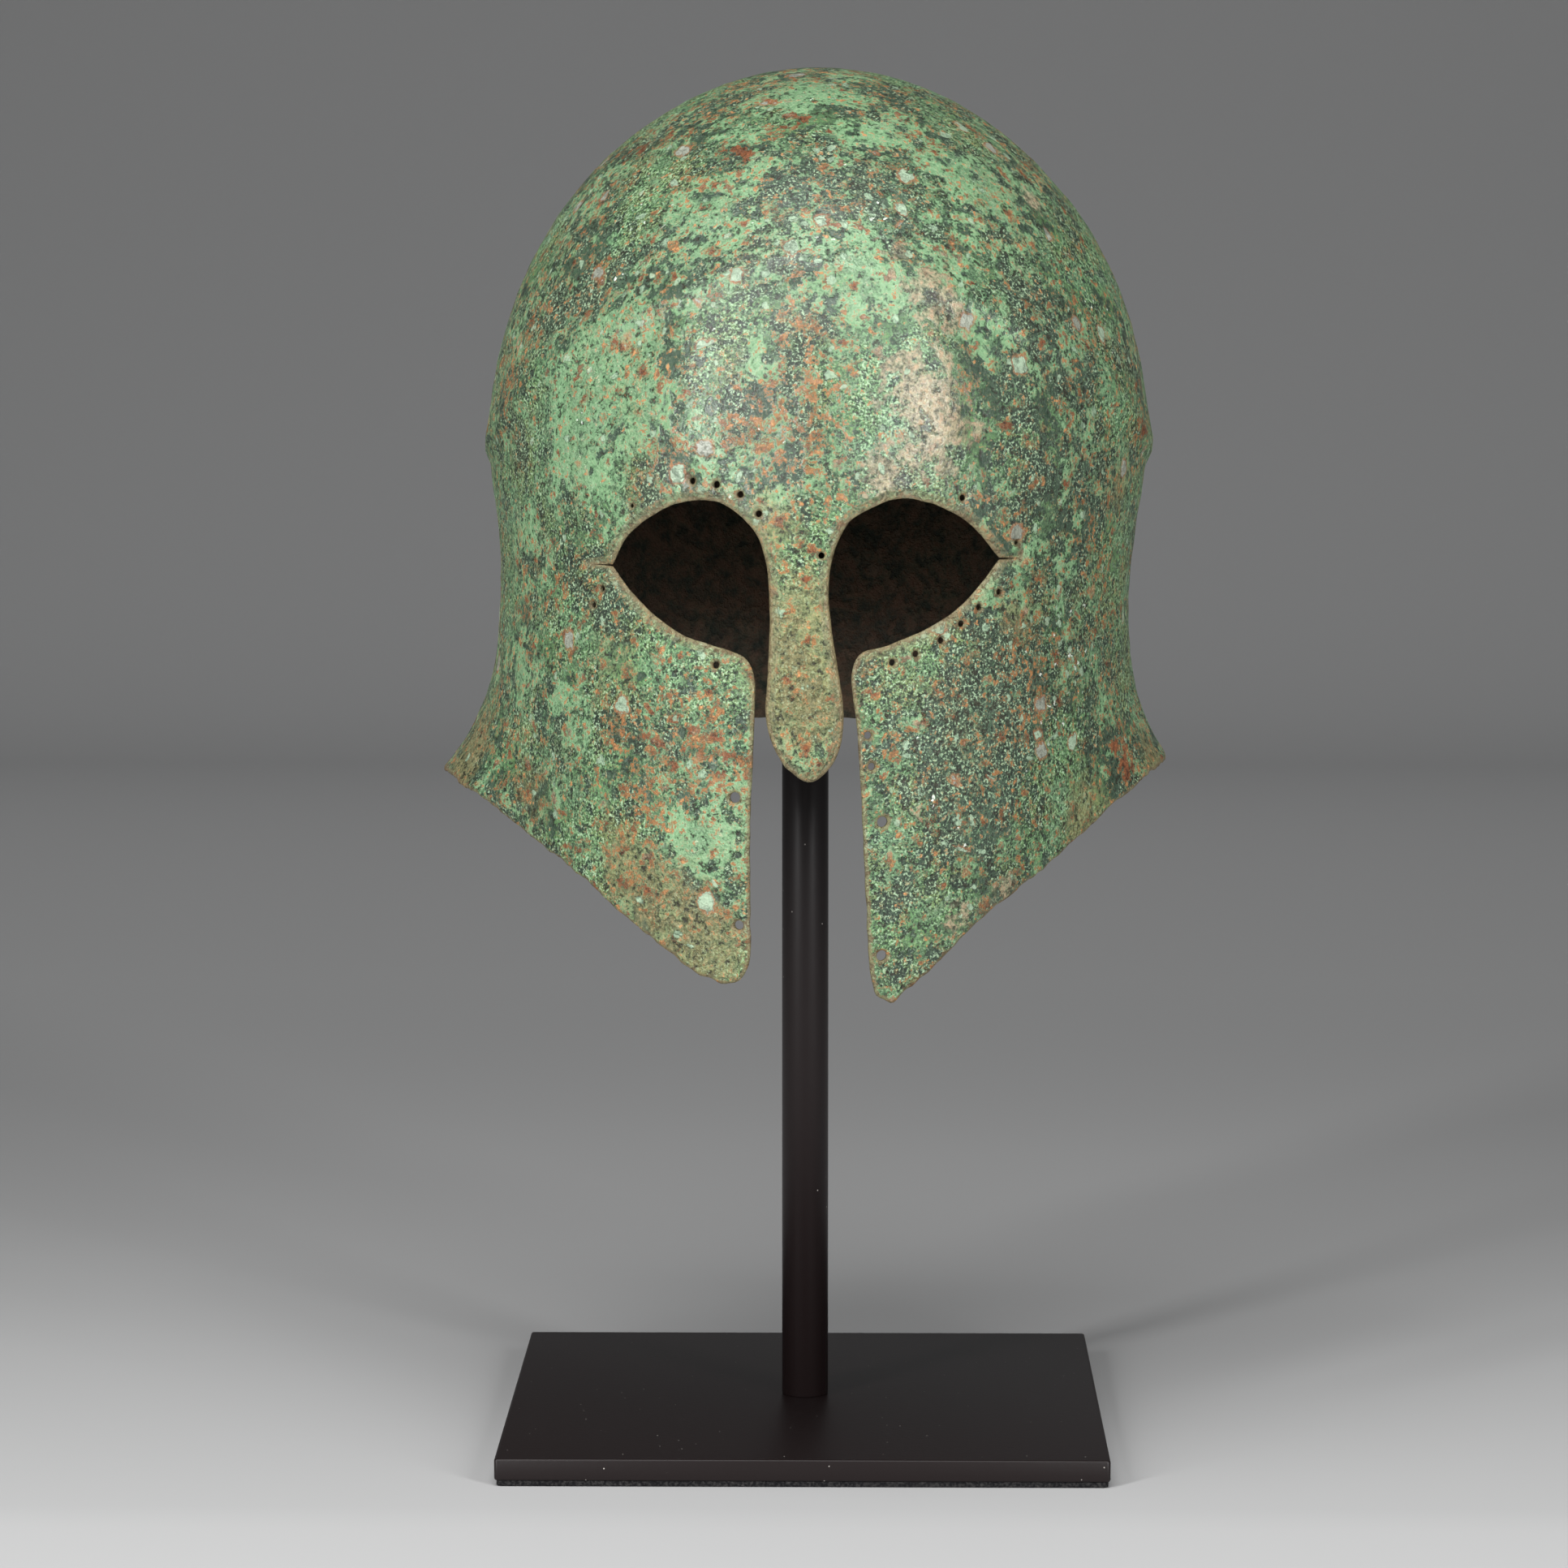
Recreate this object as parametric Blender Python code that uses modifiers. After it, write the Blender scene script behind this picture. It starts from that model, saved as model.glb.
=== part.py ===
"""Corinthian helmet of hammered bronze on a square steel display stand.

Metres, +Z up. The origin is the middle of the stand's underside. The face looks
along -Y, so +X is the wearer's left, and angles run round the helmet from the
face (0) towards +X.
"""
import math

import bmesh
import bpy
from mathutils import Vector
from mathutils.geometry import delaunay_2d_cdt
from mathutils.kdtree import KDTree

# Display stand
PLATE_SIDE = 0.178
PLATE_THICKNESS = 0.00635
PLATE_EDGE = 0.0007
FELT_THICKNESS = 0.0015
FELT_INSET = 0.001
POST_DIAMETER = 0.014
PAD_DIAMETER = 0.032
PAD_THICKNESS = 0.010
JOINT_GAP = 0.0003
CROWN_GAP = 0.0004

# Helmet, outside sizes
CROWN_HEIGHT = 0.409
DOME_HEIGHT = 0.109
SKIRT_HEIGHT = 0.155
HALF_WIDTH = 0.0982
FRONT_REACH = 0.116
BACK_REACH = 0.1325
CROWN_SHIFT = 0.0041
FACE_SHIFT = 0.0009
SIDE_FLARE = 0.013
NECK_FLARE = 0.022
FLARE_RISE = 0.040
WALL = 0.002
NOSE_WALL = 0.0034

# Face opening
BROW_DROP = 0.0135
EYE_REACH = 0.0554
EYE_HEIGHT = 0.044
SLIT_LENGTH = 0.006
SLIT_WIDTH = 0.001
NOSE_LENGTH = 0.078
NOSE_HALF_WIDTH = 0.0106
NOSE_GAP = 0.0035
RIM_DROP = 0.098
HOLE_RADIUS = 0.0012

# Facets
SHEET_STEP = 0.0105
EDGE_STEP = 0.0062
HOLE_SIDES = 8
ROUND_SIDES = 40

# The dome's profile is a superellipse of this power, so its crown is a little pointed
DOME_POWER = 1.95

# Shares of the skirt's height below the widest line, then of the half width,
# the reach to the front and the reach to the back
SKIRT_ROWS = (
    (0.00, 1.000, 1.000, 1.000),
    (0.09, 0.988, 1.010, 0.977),
    (0.18, 0.968, 1.021, 0.947),
    (0.28, 0.957, 1.031, 0.909),
    (0.39, 0.963, 1.041, 0.885),
    (0.55, 0.974, 1.053, 0.875),
    (0.74, 0.978, 1.050, 0.868),
    (1.00, 0.957, 1.026, 0.845),
)

# Upper eye edges: shares of the eye's reach sideways and of its height down
RIGHT_BROW = (
    (-1.000, 0.45), (-0.926, 0.26), (-0.789, 0.11), (-0.628, 0.02),
    (-0.462, 0.01), (-0.329, 0.10), (-0.238, 0.23),
)
LEFT_BROW = (
    (0.153, 0.29), (0.222, 0.14), (0.348, 0.04), (0.500, -0.01),
    (0.657, 0.03), (0.823, 0.14), (0.942, 0.29), (1.000, 0.40),
)

# Nose guard's edge: shares of its half width and of its length
NOSE_EDGE = (
    (-1.00, 0.23), (-0.91, 0.36), (-0.91, 0.50), (-0.97, 0.65), (-1.01, 0.75),
    (-0.93, 0.83), (-0.62, 0.92), (-0.30, 0.97), (0.09, 1.00), (0.45, 0.98),
    (0.84, 0.91), (1.00, 0.80), (0.97, 0.70), (0.81, 0.57), (0.67, 0.45),
    (0.60, 0.34), (0.65, 0.24),
)

# Lower eye edges, from the corner inwards: shares of the eye's reach and height
LEFT_LOWER_EYE = ((0.919, 0.54), (0.785, 0.71), (0.626, 0.83), (0.422, 0.93), (0.285, 0.98))
RIGHT_LOWER_EYE = ((-0.912, 0.60), (-0.773, 0.76), (-0.612, 0.88), (-0.422, 0.95), (-0.310, 1.00))

# Cheeks' inner edges: widths of the gap beside the nose guard, and shares of the
# cheek's length below the eye
LEFT_INNER_CHEEK = (
    (0.86, 0.04), (0.95, 0.11), (1.25, 0.19), (1.46, 0.29), (1.66, 0.42),
    (1.83, 0.55), (2.06, 0.72), (2.29, 0.85), (2.60, 0.95), (3.10, 0.98),
    (3.95, 1.00), (4.65, 0.98),
)
RIGHT_INNER_CHEEK = (
    (1.15, 0.05), (1.09, 0.16), (1.20, 0.28), (1.37, 0.41), (1.46, 0.53),
    (1.43, 0.75), (1.54, 0.88), (2.29, 0.93), (3.34, 0.945), (4.20, 0.935),
)

# Lower rims: degrees round from the face, shares of the drop from rim to tip
LEFT_RIM = (
    (17.3, 0.87), (27.0, 0.59), (33.5, 0.47), (41.3, 0.35), (50.8, 0.22),
    (60.4, 0.08), (68.9, 0.00), (77.4, -0.04), (95.0, -0.04), (115.0, -0.04),
    (140.0, -0.035), (180.0, -0.035),
)
RIGHT_RIM = (
    (16.0, 0.82), (19.6, 0.75), (27.9, 0.57), (38.2, 0.38), (50.8, 0.25),
    (63.5, 0.10), (71.0, 0.05), (78.4, 0.02), (95.0, 0.03), (115.0, 0.00),
    (140.0, -0.03),
)

# Lining holes along the eyes: shares of the eye's reach and height
EYE_HOLES = (
    (-0.571, -0.11), (-0.448, -0.09), (-0.327, -0.03), (-0.233, 0.09),
    (-0.885, 0.06), (-1.042, 0.60), (-1.090, 0.71), (-0.451, 1.05),
    (0.085, 0.35), (0.800, 0.00), (1.080, 0.30), (0.990, 0.61),
    (0.886, 0.70), (0.794, 0.80), (0.691, 0.90), (0.563, 0.98), (0.444, 1.03),
)

# Lining holes down the cheeks: side, gap widths from the nose guard, shares of the length
CHEEK_HOLES = (
    (-1, 2.57, 0.40), (-1, 2.25, 0.77),
    (1, 2.05, 0.22), (1, 2.35, 0.31), (1, 3.23, 0.47), (1, 3.20, 0.86),
)

WIDEST_Z = CROWN_HEIGHT - DOME_HEIGHT
BROW_Z = WIDEST_Z - BROW_DROP
EYE_FLOOR_Z = BROW_Z - EYE_HEIGHT
RIM_Z = WIDEST_Z - RIM_DROP
TIP_Z = WIDEST_Z - SKIRT_HEIGHT
PLATE_BOTTOM = FELT_THICKNESS + JOINT_GAP
PLATE_TOP = PLATE_BOTTOM + PLATE_THICKNESS
PAD_TOP = CROWN_HEIGHT - WALL - CROWN_GAP
PAD_BOTTOM = PAD_TOP - PAD_THICKNESS


def ease(share):
    """Smooth step from 0 to 1."""
    share = min(max(share, 0.0), 1.0)
    return share * share * (3.0 - 2.0 * share)


def hermite(start, end, leave, arrive, s):
    """Cubic from start to end with the given slopes, s from 0 to 1."""
    rise = end - start
    bend = 3 * rise - 2 * leave - arrive
    twist = leave + arrive - 2 * rise
    return start + leave * s + bend * (s * s) + twist * (s * s * s)


def between(rows, key):
    """Columns of a table at a key, by a smooth cubic through its rows."""
    last = len(rows) - 1
    key = min(max(key, rows[0][0]), rows[last][0])
    k = max(i for i in range(last) if rows[i][0] <= key)
    before, start, end, after = rows[max(k - 1, 0)], rows[k], rows[k + 1], rows[min(k + 2, last)]
    span = end[0] - start[0]
    values = []
    for c in range(1, len(start)):
        leave = (end[c] - before[c]) / (end[0] - before[0]) * span
        arrive = (after[c] - start[c]) / (after[0] - start[0]) * span
        values.append(hermite(start[c], end[c], leave, arrive, (key - start[0]) / span))
    return values


def ring(run):
    """One level of the helmet: run is 0 at the crown, 1 at the widest line, 2 at the tips.

    Gives its height, half width, reach to the front, reach to the back and middle.
    """
    if run < 1.0:
        turn = run * math.pi / 2
        wide = math.sin(turn) ** (2 / DOME_POWER)
        high = math.cos(turn) ** (2 / DOME_POWER)
        return (WIDEST_Z + DOME_HEIGHT * high, HALF_WIDTH * wide, FRONT_REACH * wide,
                BACK_REACH * wide, CROWN_SHIFT)
    width, front, back = between(SKIRT_ROWS, run - 1.0)
    return (WIDEST_Z - (run - 1.0) * SKIRT_HEIGHT, HALF_WIDTH * width, FRONT_REACH * front,
            BACK_REACH * back, CROWN_SHIFT * (2.0 - run))


def run_at(height):
    """The run of a level below the widest line."""
    return 1.0 + (WIDEST_Z - height) / SKIRT_HEIGHT


def skin(angle, run):
    """A point on the helmet's outside."""
    height, half_width, front, back, middle = ring(run)
    across, ahead = math.sin(angle), math.cos(angle)
    if half_width == 0.0:
        return Vector((middle, 0.0, height))
    degrees = abs(math.degrees(math.atan2(across, ahead)))
    reach = front if degrees < 90.0 else back
    radius = half_width * reach / math.hypot(reach * across, half_width * ahead)
    flare = max(RIM_Z + FLARE_RISE - height, 0.0) / FLARE_RISE
    outward = SIDE_FLARE + (NECK_FLARE - SIDE_FLARE) * ease((degrees - 90.0) / 70.0)
    radius += min(flare, 1.1) ** 2.5 * outward * ease((degrees - 45.0) / 40.0)
    return Vector((middle + radius * across, -radius * ahead, height))


def face_place(x, height):
    """Angle and height of a point of the face that lies at x."""
    _, half_width, front, _, middle = ring(run_at(height))
    side = (x - middle) / half_width
    return math.atan2(x - middle, front * math.sqrt(1.0 - side * side)), height


def eye_place(across, down):
    """A point given in shares of the eye's reach and height."""
    return face_place(FACE_SHIFT + across * EYE_REACH, BROW_Z - down * EYE_HEIGHT)


def nose_place(across, down):
    """A point given in shares of the nose guard's half width and length."""
    return face_place(FACE_SHIFT + across * NOSE_HALF_WIDTH, BROW_Z - down * NOSE_LENGTH)


def cheek_place(side, gaps, down):
    """A point beside the mouth; gaps count from the nose guard's edge, side is 1 or -1."""
    x = FACE_SHIFT + side * (NOSE_HALF_WIDTH + gaps * NOSE_GAP)
    return face_place(x, EYE_FLOOR_Z - down * (EYE_FLOOR_Z - TIP_Z))


def rim_place(degrees, down):
    """A point of the lower rim, down a share of the drop from rim to tip."""
    return math.radians(degrees), RIM_Z - down * (RIM_Z - TIP_Z)


def smooth_strand(places):
    """Places along a centripetal curve through the given ones, at most a step apart."""
    nodes = [Vector((angle * HALF_WIDTH, height)) for angle, height in places]
    nodes = [2 * nodes[0] - nodes[1]] + nodes + [2 * nodes[-1] - nodes[-2]]
    strand = []
    for before, start, end, after in zip(nodes, nodes[1:], nodes[2:], nodes[3:]):
        first = math.sqrt((start - before).length)
        span = math.sqrt((end - start).length)
        last = math.sqrt((after - end).length)
        middle = (end - start) / span
        leave = (start - before) / first - (end - before) / (first + span) + middle
        arrive = (after - end) / last - (after - start) / (span + last) + middle
        pieces = max(1, math.ceil((end - start).length / EDGE_STEP))
        for piece in range(pieces):
            spot = hermite(start, end, leave * span, arrive * span, piece / pieces)
            strand.append((spot.x / HALF_WIDTH, spot.y))
    return strand + [places[-1]]


def eye_slit(side, down):
    """The slit at an eye's corner: its upper lip, outer end and lower lip."""
    corner = FACE_SHIFT + side * EYE_REACH
    height = BROW_Z - down * EYE_HEIGHT
    return (face_place(corner, height + SLIT_WIDTH / 2),
            face_place(corner + side * SLIT_LENGTH, height),
            face_place(corner, height - SLIT_WIDTH / 2))


def face_outline():
    """The sheet's whole edge: eyes and nose guard, then the left cheek, the rim and back."""
    right_upper, right_end, right_lower = eye_slit(-1, RIGHT_BROW[0][1])
    left_upper, left_end, left_lower = eye_slit(1, LEFT_BROW[-1][1])
    upper = [right_upper] + [eye_place(*row) for row in RIGHT_BROW[1:]]
    upper += [nose_place(*row) for row in NOSE_EDGE]
    upper += [eye_place(*row) for row in LEFT_BROW[:-1]] + [left_upper]
    lower = [left_lower] + [eye_place(*row) for row in LEFT_LOWER_EYE]
    lower += [cheek_place(1, *row) for row in LEFT_INNER_CHEEK]
    lower += [rim_place(*row) for row in LEFT_RIM]
    far_side = [rim_place(-degrees, down) for degrees, down in reversed(RIGHT_RIM)]
    far_side += [cheek_place(-1, *row) for row in reversed(RIGHT_INNER_CHEEK)]
    far_side += [eye_place(*row) for row in reversed(RIGHT_LOWER_EYE)] + [right_lower]
    lower += [(angle + 2 * math.pi, height) for angle, height in far_side]
    return smooth_strand(upper) + [left_end] + smooth_strand(lower) + [right_end]


def lining_holes():
    """Angle and height of each hole's middle."""
    return ([eye_place(*row) for row in EYE_HOLES]
            + [cheek_place(*row) for row in CHEEK_HOLES])


def hole_edge(angle, height):
    """Places round one lining hole."""
    radius = (skin(angle, run_at(height)).xy - Vector((ring(run_at(height))[4], 0.0))).length
    places = []
    for k in range(HOLE_SIDES):
        turn = 2 * math.pi * k / HOLE_SIDES
        places.append((angle + HOLE_RADIUS / radius * math.cos(turn),
                       height + HOLE_RADIUS * math.sin(turn)))
    return places


def on_chart(angle, run):
    """A flat map of the sheet, crown in the middle, that keeps small shapes true."""
    if run < 1.0:
        reach = math.tan(run * math.pi / 4)
    else:
        reach = math.exp((run - 1.0) * SKIRT_HEIGHT / HALF_WIDTH)
    return Vector((math.sin(angle), -math.cos(angle))) * reach


def inside_loop(spot, loop):
    """True where a spot of the chart lies inside a closed loop of spots."""
    inside = False
    for a, b in zip(loop, loop[1:] + loop[:1]):
        if (a.y > spot.y) != (b.y > spot.y):
            if spot.x < a.x + (spot.y - a.y) / (b.y - a.y) * (b.x - a.x):
                inside = not inside
    return inside


def sheet_grid():
    """Staggered angle and run pairs that cover the helmet, ring by ring."""
    dome_rings = round(1.65 * HALF_WIDTH / SHEET_STEP)
    skirt_rings = round(SKIRT_HEIGHT / SHEET_STEP)
    runs = [k / dome_rings for k in range(1, dome_rings + 1)]
    runs += [1.0 + k / skirt_rings for k in range(1, skirt_rings)]
    places = [(0.0, 0.0)]
    for k, run in enumerate(runs):
        _, half_width, front, back, _ = ring(run)
        around = math.pi * (half_width + (front + back) / 2)
        count = max(6, round(around / SHEET_STEP))
        places += [(2 * math.pi * (j + k % 2 / 2) / count, run) for j in range(count)]
    return places


def sheet_mesh():
    """The helmet's outer surface as an open mesh with its face opening and lining holes."""
    loops = [face_outline()] + [hole_edge(*place) for place in lining_holes()]
    places = []
    edges = []
    for loop in loops:
        first = len(places)
        places += [(angle, run_at(height)) for angle, height in loop]
        edges += [(first + k, first + (k + 1) % len(loop)) for k in range(len(loop))]
    outline = [on_chart(*place) for place in places[:len(loops[0])]]
    near_edge = KDTree(len(places))
    for k, place in enumerate(places):
        near_edge.insert(skin(*place), k)
    near_edge.balance()
    for place in sheet_grid():
        if inside_loop(on_chart(*place), outline):
            if near_edge.find(skin(*place))[2] > 0.5 * SHEET_STEP:
                places.append(place)
    spots = [on_chart(*place) for place in places]
    _, _, faces, origins, _, _ = delaunay_2d_cdt(spots, edges, [], 1, 1e-7)
    holes = [skin(angle, run_at(height)) for angle, height in lining_holes()]
    sheet = bmesh.new()
    corners = [sheet.verts.new(skin(*place)) for place in places]
    for face in faces:
        trio = [corners[origins[k][0]] for k in face]
        middle = sum((corner.co for corner in trio), Vector()) / 3
        if min((middle - hole).length for hole in holes) > 0.9 * HOLE_RADIUS:
            sheet.faces.new(trio)
    bmesh.ops.delete(sheet, geom=[v for v in sheet.verts if not v.link_faces], context="VERTS")
    return sheet


def on_nose(point):
    """Share of the nose guard's extra thickness at a point of the sheet."""
    across = abs(point.x - FACE_SHIFT) - NOSE_HALF_WIDTH
    beside = 1.0 - ease((across - NOSE_GAP * 0.2) / (NOSE_GAP * 0.4))
    below = ease((BROW_Z + BROW_DROP - point.z) / (2 * BROW_DROP))
    return beside * below if point.y < 0.0 else 0.0


def make_material(name, colour, roughness, metallic):
    """A plain Principled material; colour is linear RGB."""
    material = bpy.data.materials.new(name)
    material.use_nodes = True
    shader = material.node_tree.nodes["Principled BSDF"]
    shader.inputs["Base Color"].default_value = (*colour, 1.0)
    shader.inputs["Roughness"].default_value = roughness
    shader.inputs["Metallic"].default_value = metallic
    material.diffuse_color = (*colour, 1.0)
    return material


def add_object(name, mesh, collection, material, location=(0.0, 0.0, 0.0)):
    """Wrap a bmesh or mesh in a named object of the collection."""
    if isinstance(mesh, bmesh.types.BMesh):
        data = bpy.data.meshes.new(name)
        mesh.to_mesh(data)
        mesh.free()
    else:
        data = mesh
    data.materials.append(material)
    part = bpy.data.objects.new(name, data)
    part.location = location
    collection.objects.link(part)
    return part


def add_helmet(collection):
    """The hammered sheet, thicker down the nose guard."""
    bronze = make_material("patinated bronze", (0.13, 0.25, 0.14), 0.62, 0.35)
    helmet = add_object("helmet_shell", sheet_mesh(), collection, bronze)
    helmet.data.shade_smooth()
    group = helmet.vertex_groups.new(name="nose guard")
    for vertex in helmet.data.vertices:
        group.add([vertex.index], on_nose(vertex.co), "REPLACE")
    solid = helmet.modifiers.new("wall", "SOLIDIFY")
    solid.thickness = NOSE_WALL
    solid.offset = -1.0
    solid.vertex_group = group.name
    solid.thickness_vertex_group = WALL / NOSE_WALL
    return helmet


def add_block(name, width, low, high, collection, material):
    """A square block between two heights."""
    block = bmesh.new()
    bmesh.ops.create_cube(block, size=1.0)
    bmesh.ops.scale(block, vec=(width, width, high - low), verts=block.verts)
    return add_object(name, block, collection, material, (0.0, 0.0, (low + high) / 2))


def add_plate(collection, material):
    """The steel plate with its edges eased."""
    plate = add_block("base_plate", PLATE_SIDE, PLATE_BOTTOM, PLATE_TOP, collection, material)
    bevel = plate.modifiers.new("edges", "BEVEL")
    bevel.width = PLATE_EDGE
    bevel.segments = 2
    return plate


def add_post(collection, material):
    """The round post, from the plate up to the pad."""
    low = PLATE_TOP + JOINT_GAP
    high = PAD_BOTTOM - JOINT_GAP
    rod = bmesh.new()
    bmesh.ops.create_cone(rod, cap_ends=True, segments=ROUND_SIDES, radius1=POST_DIAMETER / 2,
                          radius2=POST_DIAMETER / 2, depth=high - low)
    post = add_object("stand_post", rod, collection, material, (0.0, 0.0, (low + high) / 2))
    post.data.shade_smooth()
    post.data.set_sharp_from_angle(angle=math.radians(40))
    return post


def add_pad(collection):
    """The domed pad that carries the crown, a little tighter than the crown's curve."""
    felt = make_material("black felt", (0.012, 0.012, 0.013), 0.95, 0.0)
    radius = PAD_DIAMETER / 2
    profile = []
    for share in (0.0, 0.25, 0.5, 0.75, 1.0):
        wide = (share * radius / HALF_WIDTH) ** DOME_POWER
        fall = DOME_HEIGHT * (1.0 - (1.0 - wide) ** (1.0 / DOME_POWER))
        profile.append((share * radius, -1.06 * fall))
    profile += [(radius, -PAD_THICKNESS), (0.0, -PAD_THICKNESS)]
    data = bpy.data.meshes.new("crown_support")
    edges = [(k, k + 1) for k in range(len(profile) - 1)]
    data.from_pydata([(x, 0.0, z) for x, z in profile], edges, [])
    pad = add_object("crown_support", data, collection, felt, (CROWN_SHIFT, 0.0, PAD_TOP))
    turn = pad.modifiers.new("turned", "SCREW")
    turn.steps = ROUND_SIDES
    turn.render_steps = ROUND_SIDES
    turn.use_merge_vertices = True
    turn.merge_threshold = 0.0001
    turn.use_smooth_shade = True
    return pad


def main():
    for old in list(bpy.data.objects):
        bpy.data.objects.remove(old, do_unlink=True)
    collection = bpy.data.collections.new("corinthian helmet on display stand")
    bpy.context.scene.collection.children.link(collection)
    enamel = make_material("black satin enamel", (0.018, 0.015, 0.015), 0.42, 0.0)
    underlay = make_material("black felt underlay", (0.01, 0.01, 0.01), 0.95, 0.0)
    add_helmet(collection)
    add_plate(collection, enamel)
    add_post(collection, enamel)
    add_block("felt_underlay", PLATE_SIDE - 2 * FELT_INSET, 0.0, FELT_THICKNESS, collection, underlay)
    add_pad(collection)


main()
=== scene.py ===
"""Corinthian helmet of green bronze on its black display stand, dressed for the camera.

Metres, +Z up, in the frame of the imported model: the face looks along -Y and +X is the
wearer's left. Angles run round the helmet from the face (0) towards +X.
"""
import math

import bmesh
import bpy
import numpy as np
from bpy.props import FloatProperty, FloatVectorProperty, PointerProperty
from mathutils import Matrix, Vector, noise
from mathutils.geometry import delaunay_2d_cdt
from mathutils.kdtree import KDTree


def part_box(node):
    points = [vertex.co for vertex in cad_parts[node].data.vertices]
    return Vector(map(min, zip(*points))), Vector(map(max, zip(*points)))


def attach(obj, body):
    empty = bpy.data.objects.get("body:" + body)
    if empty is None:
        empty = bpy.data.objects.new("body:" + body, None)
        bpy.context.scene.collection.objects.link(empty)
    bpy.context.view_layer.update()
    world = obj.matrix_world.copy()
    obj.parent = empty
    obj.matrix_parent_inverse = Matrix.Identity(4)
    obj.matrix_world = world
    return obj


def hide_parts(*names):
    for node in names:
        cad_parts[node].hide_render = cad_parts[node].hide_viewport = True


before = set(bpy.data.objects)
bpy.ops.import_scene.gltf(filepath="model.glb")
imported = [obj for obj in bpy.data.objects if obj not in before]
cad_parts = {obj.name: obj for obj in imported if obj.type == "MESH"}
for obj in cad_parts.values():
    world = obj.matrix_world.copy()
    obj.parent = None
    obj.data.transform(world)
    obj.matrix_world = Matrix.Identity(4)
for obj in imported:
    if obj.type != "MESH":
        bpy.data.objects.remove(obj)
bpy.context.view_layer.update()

bl_info = {
    "name": "Corinthian Helmet On Stand",
    "version": (1, 0, 0),
    "blender": (4, 5, 0),
    "location": "View3D > Sidebar > Helmet",
    "description": "Builds the beaten bronze helmet, its stand and the studio around them",
    "category": "Object",
}

MM = 0.001

# Camera, solved from the four corners of the stand's plate: metres, degrees, the focal
# length and the frame's side in pixels, and the sensor in millimetres
CAMERA_PLACE = (0.0151, -1.5808, 0.3597)
CAMERA_PITCH = 5.95
CAMERA_YAW = 0.78
FOCAL_PIXELS = 6494.9
FRAME_PIXELS = 1932
SENSOR_WIDTH = 36.0

# Helmet, outside sizes
CROWN_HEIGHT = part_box("helmet_shell")[1][2]
DOME_HEIGHT = 0.109
SKIRT_HEIGHT = 0.155
HALF_WIDTH = 0.0982
FRONT_REACH = 0.116
BACK_REACH = 0.1325
CROWN_SHIFT = 0.0041
FACE_SHIFT = 0.0009
SIDE_FLARE = 0.013
NECK_FLARE = 0.022
FLARE_RISE = 0.040
DOME_POWER = 1.95

# Face opening
BROW_DROP = 0.0135
EYE_REACH = 0.0554
EYE_HEIGHT = 0.044
SLIT_LENGTH = 0.006
SLIT_WIDTH = 0.001
NOSE_LENGTH = 0.078
NOSE_HALF_WIDTH = 0.0106
NOSE_GAP = 0.0035
RIM_DROP = 0.098

WIDEST_Z = CROWN_HEIGHT - DOME_HEIGHT
BROW_Z = WIDEST_Z - BROW_DROP
EYE_FLOOR_Z = BROW_Z - EYE_HEIGHT
RIM_Z = WIDEST_Z - RIM_DROP
TIP_Z = WIDEST_Z - SKIRT_HEIGHT

# Forms beaten and punched into the sheet. The ridge over the brow starts below the widest
# line and arches up over the forehead, and the folds stand above the eyes, in degrees
RIDGE_HEIGHT = 1.6 * MM
RIDGE_DROP = 4 * MM
RIDGE_ARCH = 54 * MM
RIDGE_ABOVE = 9 * MM
RIDGE_BELOW = 3.5 * MM
FOLD_HEIGHT = 1.8 * MM
FOLD_ANGLES = (-17.5, 17.0)
FOLD_WIDTH = 6.5
HAMMER_WAVE = 26 * MM
HAMMER_RIPPLE = 10 * MM
CRUST_GRAIN = 4.5 * MM
CRUST_PATCH = 7 * MM
HOLE_SIDES = 14

# Edges and nap of the stand's pieces
PLATE_CORNER = 1.0 * MM
PLATE_EDGE = 0.6 * MM
POST_EDGE = 0.3 * MM
FELT_SPREAD = 0.4 * MM
FELT_CORNER = 1.5 * MM
FELT_EDGE = 0.35 * MM
FIBRE_LENGTH = 0.9 * MM
CUSHION_EDGE = 0.8 * MM

# Shares of the skirt's height below the widest line, then of the half width,
# the reach to the front and the reach to the back
SKIRT_ROWS = np.array((
    (0.00, 1.000, 1.000, 1.000),
    (0.09, 0.988, 1.010, 0.977),
    (0.18, 0.968, 1.021, 0.947),
    (0.28, 0.957, 1.031, 0.909),
    (0.39, 0.963, 1.041, 0.885),
    (0.55, 0.974, 1.053, 0.875),
    (0.74, 0.978, 1.050, 0.868),
    (1.00, 0.957, 1.026, 0.845),
))

# Upper eye edges: shares of the eye's reach sideways and of its height down
RIGHT_BROW = (
    (-1.000, 0.45), (-0.926, 0.26), (-0.789, 0.11), (-0.628, 0.02),
    (-0.462, 0.01), (-0.329, 0.10), (-0.238, 0.23),
)
LEFT_BROW = (
    (0.153, 0.29), (0.222, 0.14), (0.348, 0.04), (0.500, -0.01),
    (0.657, 0.03), (0.823, 0.14), (0.942, 0.29), (1.000, 0.40),
)

# Nose guard's edge: shares of its half width and of its length
NOSE_EDGE = (
    (-1.00, 0.23), (-0.91, 0.36), (-0.91, 0.50), (-0.97, 0.65), (-1.01, 0.75),
    (-0.93, 0.83), (-0.62, 0.92), (-0.30, 0.97), (0.09, 1.00), (0.45, 0.98),
    (0.84, 0.91), (1.00, 0.80), (0.97, 0.70), (0.81, 0.57), (0.67, 0.45),
    (0.60, 0.34), (0.65, 0.24),
)

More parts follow.
